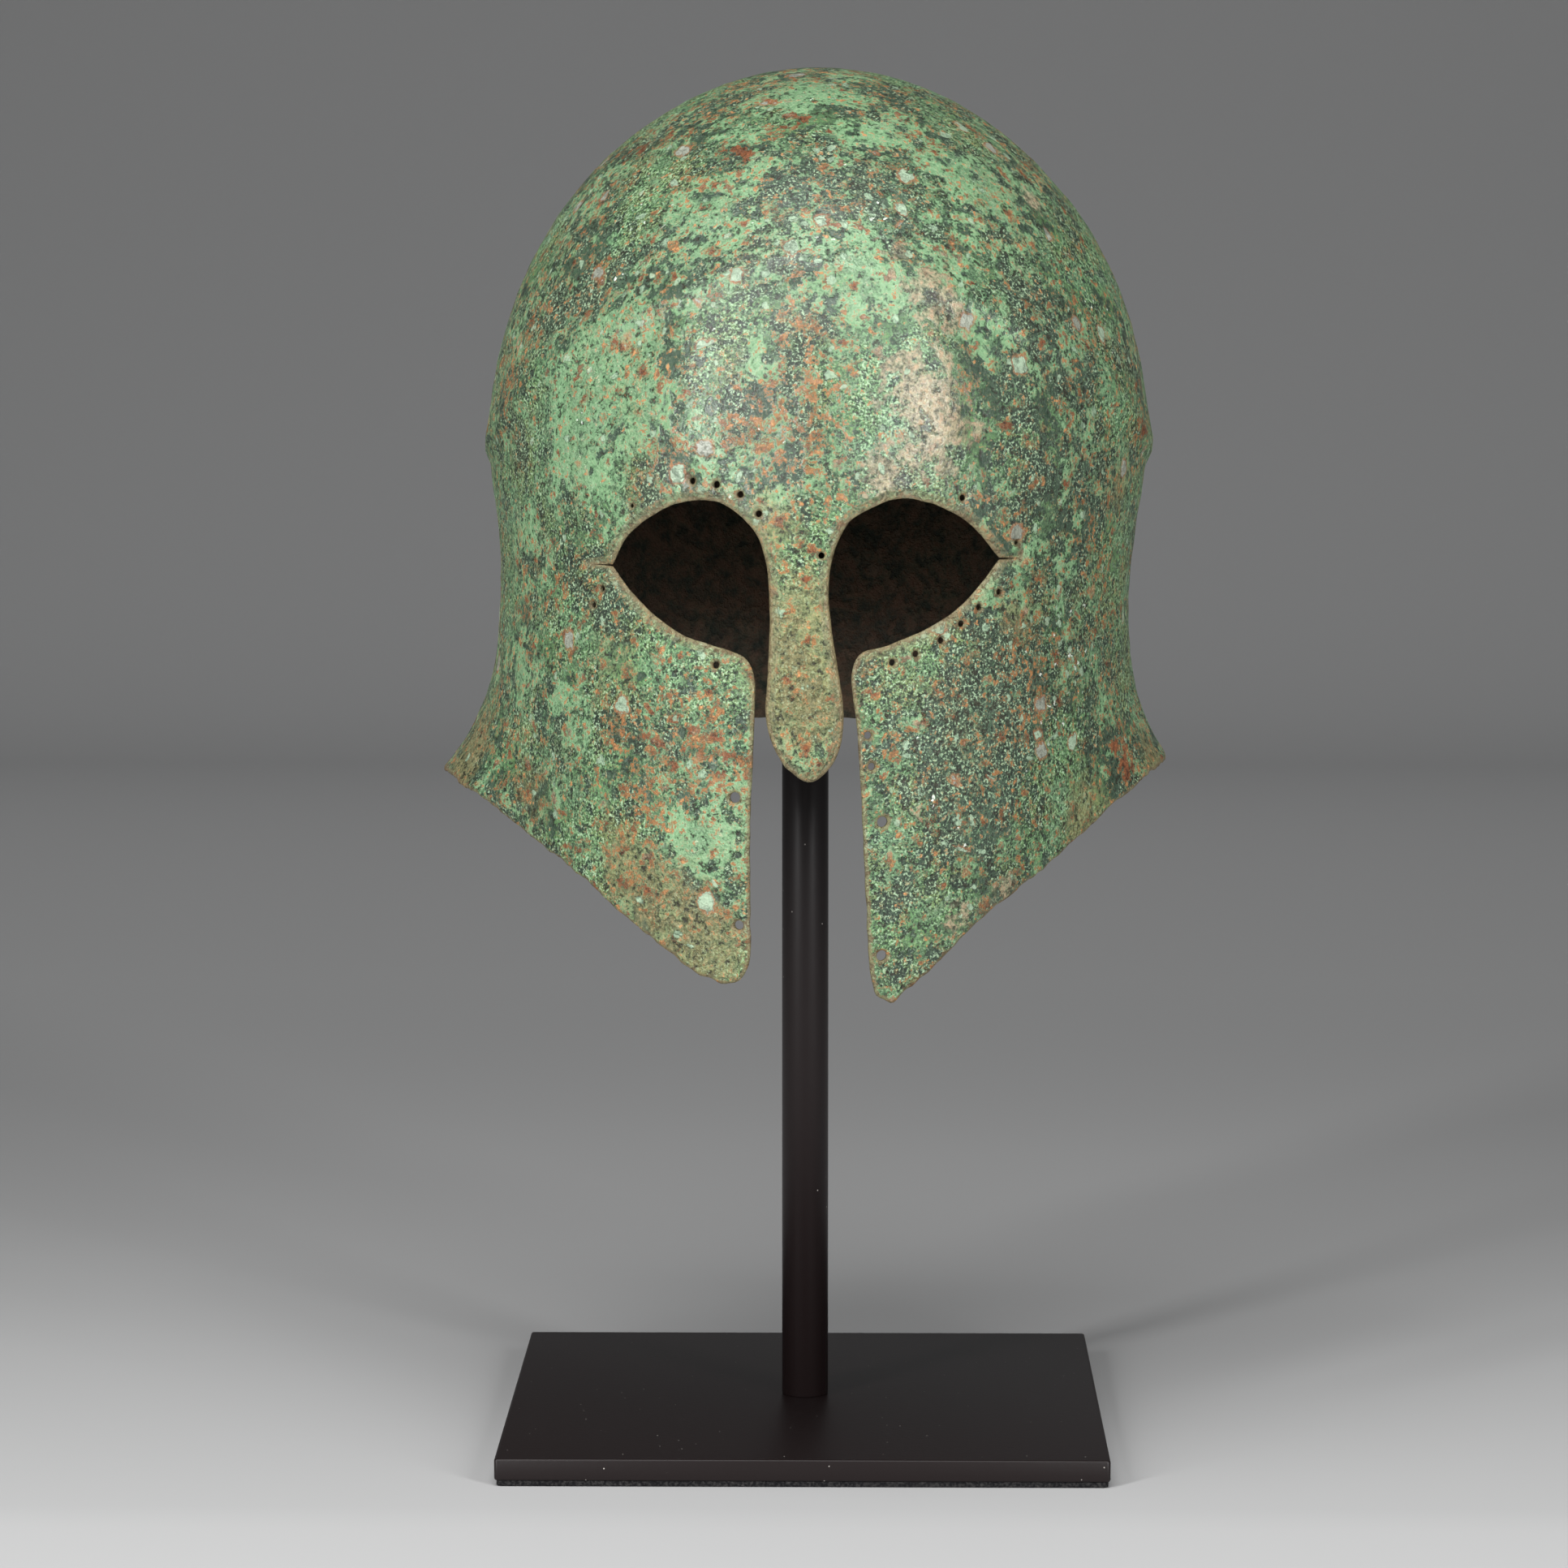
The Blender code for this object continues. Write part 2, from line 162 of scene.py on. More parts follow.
# Lower eye edges, from the corner inwards: shares of the eye's reach and height
LEFT_LOWER_EYE = ((0.919, 0.54), (0.785, 0.71), (0.626, 0.83), (0.422, 0.93), (0.285, 0.98))
RIGHT_LOWER_EYE = ((-0.912, 0.60), (-0.773, 0.76), (-0.612, 0.88), (-0.422, 0.95), (-0.310, 1.00))

# Cheeks' inner edges: widths of the gap beside the nose guard, and shares of the
# cheek's length below the eye
LEFT_INNER_CHEEK = (
    (0.86, 0.04), (0.95, 0.11), (1.25, 0.19), (1.46, 0.29), (1.66, 0.42),
    (1.83, 0.55), (2.06, 0.72), (2.29, 0.85), (2.60, 0.95), (3.10, 0.98),
    (3.95, 1.00), (4.65, 0.98),
)
RIGHT_INNER_CHEEK = (
    (1.15, 0.05), (1.09, 0.16), (1.20, 0.28), (1.37, 0.41), (1.46, 0.53),
    (1.43, 0.75), (1.54, 0.88), (2.29, 0.93), (3.34, 0.945), (4.20, 0.935),
)

# Lower rims: degrees round from the face, shares of the drop from rim to tip
LEFT_RIM = (
    (17.3, 0.87), (27.0, 0.59), (33.5, 0.47), (41.3, 0.35), (50.8, 0.22),
    (60.4, 0.08), (68.9, 0.00), (77.4, -0.04), (95.0, -0.04), (115.0, -0.04),
    (140.0, -0.035), (180.0, -0.035),
)
RIGHT_RIM = (
    (16.0, 0.82), (19.6, 0.75), (27.9, 0.57), (38.2, 0.38), (50.8, 0.25),
    (63.5, 0.10), (71.0, 0.05), (78.4, 0.02), (95.0, 0.03), (115.0, 0.00),
    (140.0, -0.03),
)

# Lining holes along the eyes: shares of the eye's reach and height, radius in millimetres
EYE_HOLES = (
    (-0.571, -0.11, 1.0), (-0.448, -0.09, 1.1), (-0.327, -0.03, 1.0), (-0.233, 0.09, 1.0),
    (-0.885, 0.06, 0.7), (-1.042, 0.60, 0.9), (-1.090, 0.71, 1.0), (-0.451, 1.05, 1.1),
    (0.085, 0.35, 1.0), (0.800, 0.00, 1.0), (1.080, 0.30, 0.8), (0.990, 0.61, 1.0),
    (0.886, 0.70, 1.0), (0.794, 0.80, 1.0), (0.691, 0.90, 1.0), (0.563, 0.98, 1.0),
    (0.444, 1.03, 1.0),
)

# Lining holes down the cheeks: side, gap widths from the nose guard, shares of the
# length, radius in millimetres
CHEEK_HOLES = (
    (-1, 2.57, 0.40, 1.6), (-1, 2.25, 0.77, 1.4),
    (1, 2.05, 0.22, 1.1), (1, 2.35, 0.31, 1.1), (1, 3.23, 0.47, 1.6), (1, 3.20, 0.86, 1.6),
)

# Where the patina holds more of a layer than elsewhere, or less where the strength is below 0:
# degrees round from the face, height, size of the patch and strength; lengths in millimetres
PATCHES = {
    "pale": (
        (-20, 364, 14, 0.8), (-14, 382, 10, 0.7), (-2, 400, 12, 0.8), (-38, 318, 15, 0.9),
        (-41, 295, 15, 1.0), (-55, 273, 12, 0.7), (34, 380, 14, 0.7), (41, 364, 12, 0.6),
        (26, 330, 10, 0.7), (-42, 226, 10, 0.6), (11, 387, 11, 0.6), (-29, 330, 10, 0.7),
        (7, 346, 14, 0.8), (-15, 192, 9, 1.3), (-25, 312, 10, 0.7), (-9, 324, 9, 0.6),
        (28, 222, 26, -0.6), (-58, 233, 9, 0.5), (38, 270, 10, 0.4), (20, 348, 9, 0.6),
        (180, 350, 40, 0.5), (-120, 330, 25, 0.6),
    ),
    "dark": (
        (30, 215, 20, 0.3), (-47, 341, 13, 1.0), (-33, 346, 12, 0.9), (-21, 357, 9, 0.7),
        (-4, 371, 12, 0.8), (13, 372, 10, 0.6), (36, 343, 12, 0.8), (59, 357, 10, 0.6),
        (31, 316, 11, 0.6), (43, 329, 11, 0.6), (-34, 303, 6, 0.6), (21, 203, 13, 0.9),
        (24, 230, 14, 0.8), (15, 222, 11, 0.7), (14, 176, 10, 0.7), (34, 289, 10, 0.6),
        (-41, 265, 8, 0.5), (-57, 297, 7, 0.6), (45, 297, 9, 0.6), (-22, 299, 7, 0.5),
        (130, 300, 30, 0.6), (-150, 260, 25, 0.6), (-72, 206, 9, 0.9),
    ),
    "rust": (
        (-18, 377, 14, 0.5), (2, 326, 15, 0.55), (-6, 306, 11, 0.5), (-21, 299, 7, 0.7),
        (-16, 229, 11, 0.6), (-13, 213, 11, 0.7), (-22, 201, 11, 0.8), (-57, 334, 10, 0.6),
        (-63, 315, 8, 0.7), (62, 209, 9, 0.9), (69, 305, 9, 0.9), (-28, 221, 8, 0.9),
        (0, 290, 9, 0.9), (54, 264, 8, 0.5), (160, 230, 25, 0.5), (-100, 210, 15, 0.6),
    ),
    "scabs": (
        (-18, 382, 6, 1.0), (-7, 393, 5, 0.9), (-22, 369, 5, 0.9), (20, 379, 3, 0.9),
        (-58, 384, 6, 0.8), (69, 305, 9, 0.5), (-16, 220, 16, 0.35), (62, 209, 9, 0.6),
    ),
    "tan": (
        # Over the wearer's left brow, 10 to 21 degrees round and 292 to 355 mm high, the tan is
        # partly real soil crust and partly a painted pinkish highlight where the right softbox
        # reflects
        (17, 306, 14, 0.80), (13, 322, 13, 0.7), (21, 337, 8, 0.8), (10, 292, 9, 0.8),
        (17, 345, 8, 0.7), (30, 175, 10, 0.8), (22, 168, 7, 0.8), (13, 355, 5, 0.8),
        (51, 369, 5, 1.0), (-140, 300, 16, 0.9),
    ),
    "ochre": (
        (-19, 171, 12, 1.3), (-26, 182, 11, 1.2), (-12, 160, 9, 1.3), (-1, 230, 15, 1.5),
        (-1, 252, 15, 1.4), (31, 252, 8, 0.8), (-73, 206, 12, 1.5), (48, 194, 11, 0.9),
        (74, 206, 11, 1.1), (-50, 200, 12, 0.7), (-30, 240, 16, 0.4), (-6, 281, 8, 0.6),
        (61, 287, 9, 0.9), (175, 215, 20, 0.8), (100, 212, 14, 0.6),
    ),
    "flakes": (
        (-2, 359, 9, 1.0), (-11, 363, 5, 0.9), (4, 379, 5, 0.9), (11, 367, 7, 0.9),
        (-35, 367, 8, 0.9), (-38, 307, 5, 1.1), (58, 336, 9, 0.9), (45, 237, 14, 1.0),
        (15, 200, 6, 0.9), (14, 219, 5, 1.0), (-19, 337, 8, 0.8), (36, 219, 12, 0.9),
        (-35, 346, 5, 0.9), (-23, 184, 6, 0.9), (24, 198, 10, 0.8), (-150, 340, 25, 0.6),
    ),
}

# Each layer's share away from its patches: mean, and how much that drifts
LAYERS = (
    ("pale", 0.20, 0.55), ("dark", 0.20, 0.55), ("rust", 0.28, 0.50), ("scabs", -0.05, 0.20),
    ("tan", -0.05, 0.30), ("ochre", 0.0, 0.35), ("flakes", 0.15, 0.40),
)


def linear(code):
    """Linear RGB of an sRGB hex colour."""
    channels = [int(code[k:k + 2], 16) / 255 for k in (1, 3, 5)]
    return tuple(c / 12.92 if c <= 0.04045 else ((c + 0.055) / 1.055) ** 2.4 for c in channels)


class HelmetSizes(bpy.types.PropertyGroup):
    """Sizes of the beaten sheet that a maker would set."""

    wall: FloatProperty(name="Wall", description="Thickness of the sheet", default=2.0 * MM,
                        unit="LENGTH")
    nose_wall: FloatProperty(name="Nose guard", description="Thickness of the nose guard",
                             default=3.4 * MM, unit="LENGTH")
    bevel: FloatProperty(name="Bevel", description="Width of the filed band round the eyes",
                         default=2.4 * MM, unit="LENGTH")
    bevel_fall: FloatProperty(name="Bevel depth", description="Fall of that band at the edge",
                              default=0.9 * MM, unit="LENGTH")
    dents: FloatProperty(name="Hammering", description="Height of the hammered waves",
                         default=0.35 * MM, unit="LENGTH")
    grain: FloatProperty(name="Facet", description="Spacing of the sheet's points",
                         default=2.1 * MM, unit="LENGTH")
    edge_grain: FloatProperty(name="Edge facet", description="Spacing of points on the edge",
                              default=1.3 * MM, unit="LENGTH")


class HelmetColours(bpy.types.PropertyGroup):
    """Colours of the patina and the stand."""

    malachite: FloatVectorProperty(name="Malachite", description="Main green of the patina",
                                   subtype="COLOR", default=linear("#5c8456"))
    cuprite: FloatVectorProperty(name="Cuprite", description="Red-brown copper oxide",
                                 subtype="COLOR", default=linear("#8d5532"))
    enamel: FloatVectorProperty(name="Enamel", description="Black of the stand",
                                subtype="COLOR", default=linear("#140d0d"))


class StudioSettings(bpy.types.PropertyGroup):
    """Lights of the studio."""

    key: FloatProperty(name="Key light", description="Power of the left softbox", default=29.0,
                       unit="POWER")
    fill: FloatProperty(name="Fill light", description="Power of the right softbox", default=28.0,
                        unit="POWER")
    top: FloatProperty(name="Top light", description="Power of the overhead softbox",
                       default=29.0, unit="POWER")


def hermite(start, end, leave, arrive, s):
    """Cubic from start to end with the given slopes, s from 0 to 1."""
    rise = end - start
    bend = 3 * rise - 2 * leave - arrive
    twist = leave + arrive - 2 * rise
    return start + leave * s + bend * s ** 2 + twist * s ** 3


def ease(share):
    """Smooth step from 0 to 1."""
    share = np.clip(share, 0.0, 1.0)
    return share * share * (3.0 - 2.0 * share)


def skirt_shares(keys):
    """Columns of the skirt's table at the given keys, by a smooth cubic through its rows."""
    last = len(SKIRT_ROWS) - 1
    keys = np.clip(keys, 0.0, SKIRT_ROWS[last, 0])
    k = np.clip(np.searchsorted(SKIRT_ROWS[:, 0], keys, side="right") - 1, 0, last - 1)
    before, start = SKIRT_ROWS[np.maximum(k - 1, 0)], SKIRT_ROWS[k]
    end, after = SKIRT_ROWS[k + 1], SKIRT_ROWS[np.minimum(k + 2, last)]
    span = (end - start)[..., :1]
    leave = (end - before)[..., 1:] / (end - before)[..., :1] * span
    arrive = (after - start)[..., 1:] / (after - start)[..., :1] * span
    share = (keys[..., None] - start[..., :1]) / span
    return hermite(start[..., 1:], end[..., 1:], leave, arrive, share)


def ring(run):
    """Levels of the helmet: run is 0 at the crown, 1 at the widest line, 2 at the tips.

    Gives heights, half widths, reaches to the front, reaches to the back and middles.
    """
    run = np.asarray(run, dtype=float)
    turn = np.minimum(run, 1.0) * math.pi / 2
    wide = np.maximum(np.sin(turn), 1e-9) ** (2 / DOME_POWER)
    high = np.maximum(np.cos(turn), 0.0) ** (2 / DOME_POWER)
    below = np.maximum(run - 1.0, 0.0)
    shares = skirt_shares(below) * wide[..., None]
    return (WIDEST_Z + DOME_HEIGHT * high - SKIRT_HEIGHT * below, HALF_WIDTH * shares[..., 0],
            FRONT_REACH * shares[..., 1], BACK_REACH * shares[..., 2],
            CROWN_SHIFT * (1.0 - below))


def run_at(height):
    """The run of a level below the widest line."""
    return 1.0 + (WIDEST_Z - height) / SKIRT_HEIGHT


def skin(angle, run):
    """Points on the helmet's outside, before any hammering."""
    height, half_width, front, back, middle = ring(run)
    across, ahead = np.sin(angle), np.cos(angle)
    degrees = np.degrees(np.abs(np.arctan2(across, ahead)))
    reach = np.where(degrees < 90.0, front, back)
    radius = half_width * reach / np.hypot(reach * across, half_width * ahead)
    flare = np.clip((RIM_Z + FLARE_RISE - height) / FLARE_RISE, 0.0, 1.1)
    outward = SIDE_FLARE + (NECK_FLARE - SIDE_FLARE) * ease((degrees - 90.0) / 70.0)
    radius = radius + flare ** 2.5 * outward * ease((degrees - 45.0) / 40.0)
    return np.stack((middle + radius * across, -radius * ahead, height), axis=-1)


def face_places(x, height):
    """Angles and heights of points of the face that lie at x."""
    _, half_width, front, _, middle = ring(run_at(height))
    side = (x - middle) / half_width
    angle = np.arctan2(x - middle, front * np.sqrt(1.0 - side * side))
    return np.stack((angle, height), axis=-1)


def eye_places(rows):
    """Places given in shares of the eye's reach and height."""
    across, down = np.array(rows, dtype=float).T[:2]
    return face_places(FACE_SHIFT + across * EYE_REACH, BROW_Z - down * EYE_HEIGHT)


def nose_places(rows):
    """Places given in shares of the nose guard's half width and length."""
    across, down = np.array(rows).T
    return face_places(FACE_SHIFT + across * NOSE_HALF_WIDTH, BROW_Z - down * NOSE_LENGTH)


def cheek_places(side, rows):
    """Places beside the mouth; gaps count from the nose guard's edge, side is 1 or -1."""
    gaps, down = np.array(rows, dtype=float).T
    x = FACE_SHIFT + side * (NOSE_HALF_WIDTH + gaps * NOSE_GAP)
    return face_places(x, EYE_FLOOR_Z - down * (EYE_FLOOR_Z - TIP_Z))


def rim_places(side, rows):
    """Places of the lower rim, down a share of the drop from rim to tip."""
    degrees, down = np.array(rows).T
    return np.stack((side * np.radians(degrees), RIM_Z - down * (RIM_Z - TIP_Z)), axis=-1)


def eye_slit(side, down):
    """The slit at an eye's corner: its upper lip, outer end and lower lip."""
    corner = FACE_SHIFT + side * EYE_REACH
    height = BROW_Z - down * EYE_HEIGHT
    x = np.array((corner, corner + side * SLIT_LENGTH, corner))
    return face_places(x, height + SLIT_WIDTH * np.array((0.5, 0.0, -0.5)))


def smooth_strand(places, step):
    """Places along a centripetal curve through the given ones, at most a step apart."""
    nodes = np.array(places) * (HALF_WIDTH, 1.0)
    nodes = np.concatenate(([2 * nodes[0] - nodes[1]], nodes, [2 * nodes[-1] - nodes[-2]]))
    strand = []
    for before, start, end, after in zip(nodes, nodes[1:], nodes[2:], nodes[3:]):
        first, span, last = (math.sqrt(math.dist(a, b)) for a, b in
                             ((before, start), (start, end), (end, after)))
        middle = (end - start) / span
        leave = (start - before) / first - (end - before) / (first + span) + middle
        arrive = (after - end) / last - (after - start) / (span + last) + middle
        pieces = max(1, math.ceil(math.dist(start, end) / step))
        for piece in range(pieces):
            strand.append(hermite(start, end, leave * span, arrive * span, piece / pieces))
    return np.array(strand + [nodes[-2]]) / (HALF_WIDTH, 1.0)


def face_outline(step):
    """The sheet's whole edge as angles and heights, with a share of the filed bevel each."""
    right_upper, right_end, right_lower = eye_slit(-1, RIGHT_BROW[0][1])
    left_upper, left_end, left_lower = eye_slit(1, LEFT_BROW[-1][1])
    upper = np.concatenate(([right_upper], eye_places(RIGHT_BROW[1:]), nose_places(NOSE_EDGE),
                            eye_places(LEFT_BROW[:-1]), [left_upper]))
    far_side = np.concatenate((rim_places(-1, RIGHT_RIM[::-1]),
                               cheek_places(-1, RIGHT_INNER_CHEEK[::-1]),
                               eye_places(RIGHT_LOWER_EYE[::-1]), [right_lower]))
    far_side[:, 0] += 2 * math.pi
    lower = np.concatenate(([left_lower], eye_places(LEFT_LOWER_EYE),
                            cheek_places(1, LEFT_INNER_CHEEK), rim_places(1, LEFT_RIM), far_side))
    upper = smooth_strand(upper, step)
    lower = smooth_strand(lower, step)
    outline = np.concatenate((upper, [left_end], lower, [right_end]))
    bevel = ease((outline[:, 1] - EYE_FLOOR_Z + 3 * MM) / (6 * MM))
    bevel[:len(upper)] = 1.0
    return outline, bevel


def roughen(outline):
    """Wear on the sheet's edge: slight on the eyes, ragged towards the cheeks' tips."""
    worn = outline.copy()
    spots = skin(outline[:, 0], run_at(outline[:, 1]))
    for k, (x, y, z) in enumerate(spots):
        low = float(ease((EYE_FLOOR_Z - z) / (EYE_FLOOR_Z - TIP_Z)))
        depth = (0.20 + 0.55 * low) * MM
        spot = Vector((x, y, z))
        wave = noise.noise(spot / (9 * MM)) + noise.noise(spot / (3 * MM))
        worn[k, 1] += depth * wave
        worn[k, 0] += 0.5 * depth * noise.noise(Vector((z, x, y)) / (5 * MM)) / HALF_WIDTH
    return worn


def lining_holes():
    """Angles and heights of the holes' middles, and their radii."""
    eyes = eye_places(EYE_HOLES)
    cheeks = np.concatenate([cheek_places(side, [place]) for side, *place, _ in CHEEK_HOLES])
    radii = [row[-1] * MM for row in EYE_HOLES + CHEEK_HOLES]
    return np.concatenate((eyes, cheeks)), np.array(radii)


def reach_at(places):
    """Distance of surface places from the helmet's upright axis."""
    run = run_at(places[:, 1])
    points = skin(places[:, 0], run)
    return np.hypot(points[:, 0] - ring(run)[4], points[:, 1])


def on_chart(angle, run):
    """A flat map of the sheet, crown in the middle, that keeps small shapes true."""
    reach = np.where(run < 1.0, np.tan(np.minimum(run, 1.0) * math.pi / 4),
                     np.exp(np.maximum(run - 1.0, 0.0) * SKIRT_HEIGHT / HALF_WIDTH))
    return np.stack((np.sin(angle), -np.cos(angle)), axis=-1) * reach[..., None]


def inside_loop(spots, loop):
    """Marks the chart spots that lie inside a closed loop."""
    inside = np.zeros(len(spots), dtype=bool)
    for (ax, ay), (bx, by) in zip(loop, np.roll(loop, -1, axis=0)):
        if ay == by:
            continue
        spans = (ay > spots[:, 1]) != (by > spots[:, 1])
        inside ^= spans & (spots[:, 0] < ax + (spots[:, 1] - ay) / (by - ay) * (bx - ax))
    return inside


def loop_normals(places):
    """Directions into the metal at each place of a loop, in angle and height."""
    ahead = np.roll(places, -1, axis=0) - np.roll(places, 1, axis=0)
    ahead[:, 0] = (ahead[:, 0] + math.pi) % (2 * math.pi) - math.pi
    radius = reach_at(places)
    tangent = np.stack((ahead[:, 0] * radius, ahead[:, 1]), axis=-1)
    tangent /= np.linalg.norm(tangent, axis=1)[:, None]
    return np.stack((-tangent[:, 1] / radius, tangent[:, 0]), axis=-1)


class Sheet:
    """The outer surface of the helmet as places, loops and triangles."""

    # Rows of points along the outline, in millimetres from it, of which the holes have two
    OFFSETS = (0.45, 1.0, 1.7, 2.4, 3.4)
    HOLE_ROWS = 2
    HOLE_CLEAR = 2.2 * MM
    # The dome's side from crown to widest line, in half widths
    DOME_SIDE = 1.65

    def __init__(self, sizes):
        outline, self.bevel = face_outline(sizes.edge_grain)
        self.loops = [roughen(outline)]
        self.hole_middles, self.hole_radii = lining_holes()
        for middle, radius in zip(self.hole_middles, self.hole_radii):
            turn = -np.arange(HOLE_SIDES) * 2 * math.pi / HOLE_SIDES
            around = reach_at(middle[None])[0]
            circle = np.stack((np.cos(turn) / around, np.sin(turn)), axis=-1)
            self.loops.append(middle + radius * circle)
        self.edge_places = np.concatenate(self.loops)
        self.fill(sizes)

    def fill(self, sizes):
        """Adds rows along the edges and a staggered grid, and joins all in triangles."""
        edge_runs = run_at(self.edge_places[:, 1])
        edge_points = skin(self.edge_places[:, 0], edge_runs)
        self.edge_tree = KDTree(len(edge_points))
        for k, point in enumerate(edge_points):
            self.edge_tree.insert(point, k)
        self.edge_tree.balance()
        outline_chart = on_chart(self.loops[0][:, 0], run_at(self.loops[0][:, 1]))
        rows = []
        for number, loop in enumerate(self.loops):
            for offset in self.OFFSETS if number == 0 else self.OFFSETS[:self.HOLE_ROWS]:
                # A row's points count as clear when only their own edge is that near
                places = loop + loop_normals(loop) * offset * MM
                clear = 0.93 * offset * MM
                rows += self.kept(places[:, 0], run_at(places[:, 1]), clear, outline_chart)
        grid = []
        dome_rings = round(self.DOME_SIDE * HALF_WIDTH / sizes.grain)
        skirt_rings = round(SKIRT_HEIGHT / sizes.grain)
        runs = [k / dome_rings for k in range(1, dome_rings + 1)]
        runs += [1.0 + k / skirt_rings for k in range(1, skirt_rings)]
        for k, run in enumerate(runs):
            _, half_width, front, back, _ = ring(run)
            count = max(6, round(math.pi * (half_width + (front + back) / 2) / sizes.grain))
            turn = 2 * math.pi * (np.arange(count) + k % 2 / 2) / count
            grid += self.kept(turn, np.full(count, run), (self.OFFSETS[-1] + 1.0) * MM,
                              outline_chart, hole_clear=self.HOLE_CLEAR)
        inner = np.array([(0.0, 0.0)] + rows + grid)
        edges = []
        first = 0
        for loop in self.loops:
            count = len(loop)
            edges += [(first + k, first + (k + 1) % count) for k in range(count)]
            first += count
        self.angle = np.concatenate((self.edge_places[:, 0], inner[:, 0]))
        self.run = np.concatenate((edge_runs, inner[:, 1]))
        self.points = skin(self.angle, self.run)
        spots = [Vector(spot) for spot in on_chart(self.angle, self.run)]
        _, _, faces, origins, _, _ = delaunay_2d_cdt(spots, edges, [], 1, 1e-8)
        faces = np.array([[origins[k][0] for k in face] for face in faces])
        middles = self.points[faces].mean(axis=1)
        holes = skin(self.hole_middles[:, 0], run_at(self.hole_middles[:, 1]))
        gaps = np.linalg.norm(middles[:, None] - holes[None], axis=2) / self.hole_radii
        self.faces = faces[gaps.min(axis=1) > 0.95]

    def kept(self, angle, run, clear, outline_chart, hole_clear=None):
        """The places that lie in the metal and clear of every edge."""
        inside = inside_loop(on_chart(angle, run), outline_chart)
        chosen = []
        for a, r, point in zip(angle[inside], run[inside], skin(angle, run)[inside]):
            _, index, gap = self.edge_tree.find(point)
            wanted = clear if hole_clear is None or index < len(self.loops[0]) else hole_clear
            if gap > wanted:
                chosen.append((a, r))
        return chosen


def smooth_noise(points, size, offset=0.0):
    """Noise from -1 to 1 at points, with waves of the given size."""
    scaled = points / size + offset
    return np.array([noise.noise(Vector(point)) for point in scaled])


def brow_ridge(angle, points):
    """The low ridge where the skull meets the face, arching over the forehead."""
    ahead = np.maximum(np.cos(angle), 0.0)
    arch = WIDEST_Z - RIDGE_DROP + RIDGE_ARCH * ahead ** 2
    above = points[:, 2] - arch
    width = np.where(above > 0.0, RIDGE_ABOVE, RIDGE_BELOW)
    return RIDGE_HEIGHT * np.exp(-(above / width) ** 2)


def temple_folds(angle, points):
    """Two soft upright folds that square the forehead above the eyes.

    They rise from 20 mm below the widest line and fade out 36 to 52 mm above it.
    """
    degrees = np.degrees(np.arctan2(np.sin(angle), np.cos(angle)))
    level = ease((points[:, 2] - WIDEST_Z + 20 * MM) / (25 * MM))
    level *= 1.0 - ease((points[:, 2] - WIDEST_Z - 36 * MM) / (16 * MM))
    folds = sum(np.exp(-((degrees - fold) / FOLD_WIDTH) ** 2) for fold in FOLD_ANGLES)
    return FOLD_HEIGHT * level * folds


def patch_share(layer, base, wave, points):
    """How much of a layer the patina holds at each point, from a drift and the patches.

    The drift's offset keeps the layers apart in the noise.
    """
    share = base + wave * smooth_noise(points, 30 * MM, 40.0 + len(layer) + 3.0 * wave)
    for degrees, height, size, strength in PATCHES[layer]:
        run = run_at(height * MM)
        if run < 1.0:
            level = ((height * MM - WIDEST_Z) / DOME_HEIGHT) ** (DOME_POWER / 2)
            run = math.acos(level) * 2 / math.pi
        middle = skin(np.radians(degrees), run)
        gaps = np.linalg.norm(points - middle, axis=1) / (size * MM)
        share = share + strength * np.exp(-gaps ** 2)
    return np.clip(share, 0.0, 1.5)


def on_nose(points):
    """Share of the nose guard's extra thickness."""
    across = np.abs(points[:, 0] - FACE_SHIFT) - NOSE_HALF_WIDTH
    beside = 1.0 - ease((across - 0.7 * MM) / (1.4 * MM))
    below = ease((BROW_Z + BROW_DROP - points[:, 2]) / (2 * BROW_DROP))
    return beside * below * (points[:, 1] < 0.0)


def sheet_normals(sheet):
    """Directions out of the plain surface at each of its points."""
    plain = bpy.data.meshes.new("plain skin")
    plain.from_pydata(sheet.points.tolist(), [], sheet.faces.tolist())
    normals = np.empty(3 * len(sheet.points))
    plain.vertices.foreach_get("normal", normals)
    bpy.data.meshes.remove(plain)
    return normals.reshape(-1, 3)


def edge_distances(sheet):
    """Each point's distance from the nearest edge, and how far that edge is filed."""
    outline_count = len(sheet.loops[0])
    gap = np.zeros(len(sheet.points))
    nearest = np.arange(len(sheet.points))
    for k in range(len(sheet.edge_places), len(sheet.points)):
        _, nearest[k], gap[k] = sheet.edge_tree.find(sheet.points[k])
    filed = sheet.bevel[np.minimum(nearest, outline_count - 1)]
    return gap, np.where(nearest < outline_count, filed, 0.0)


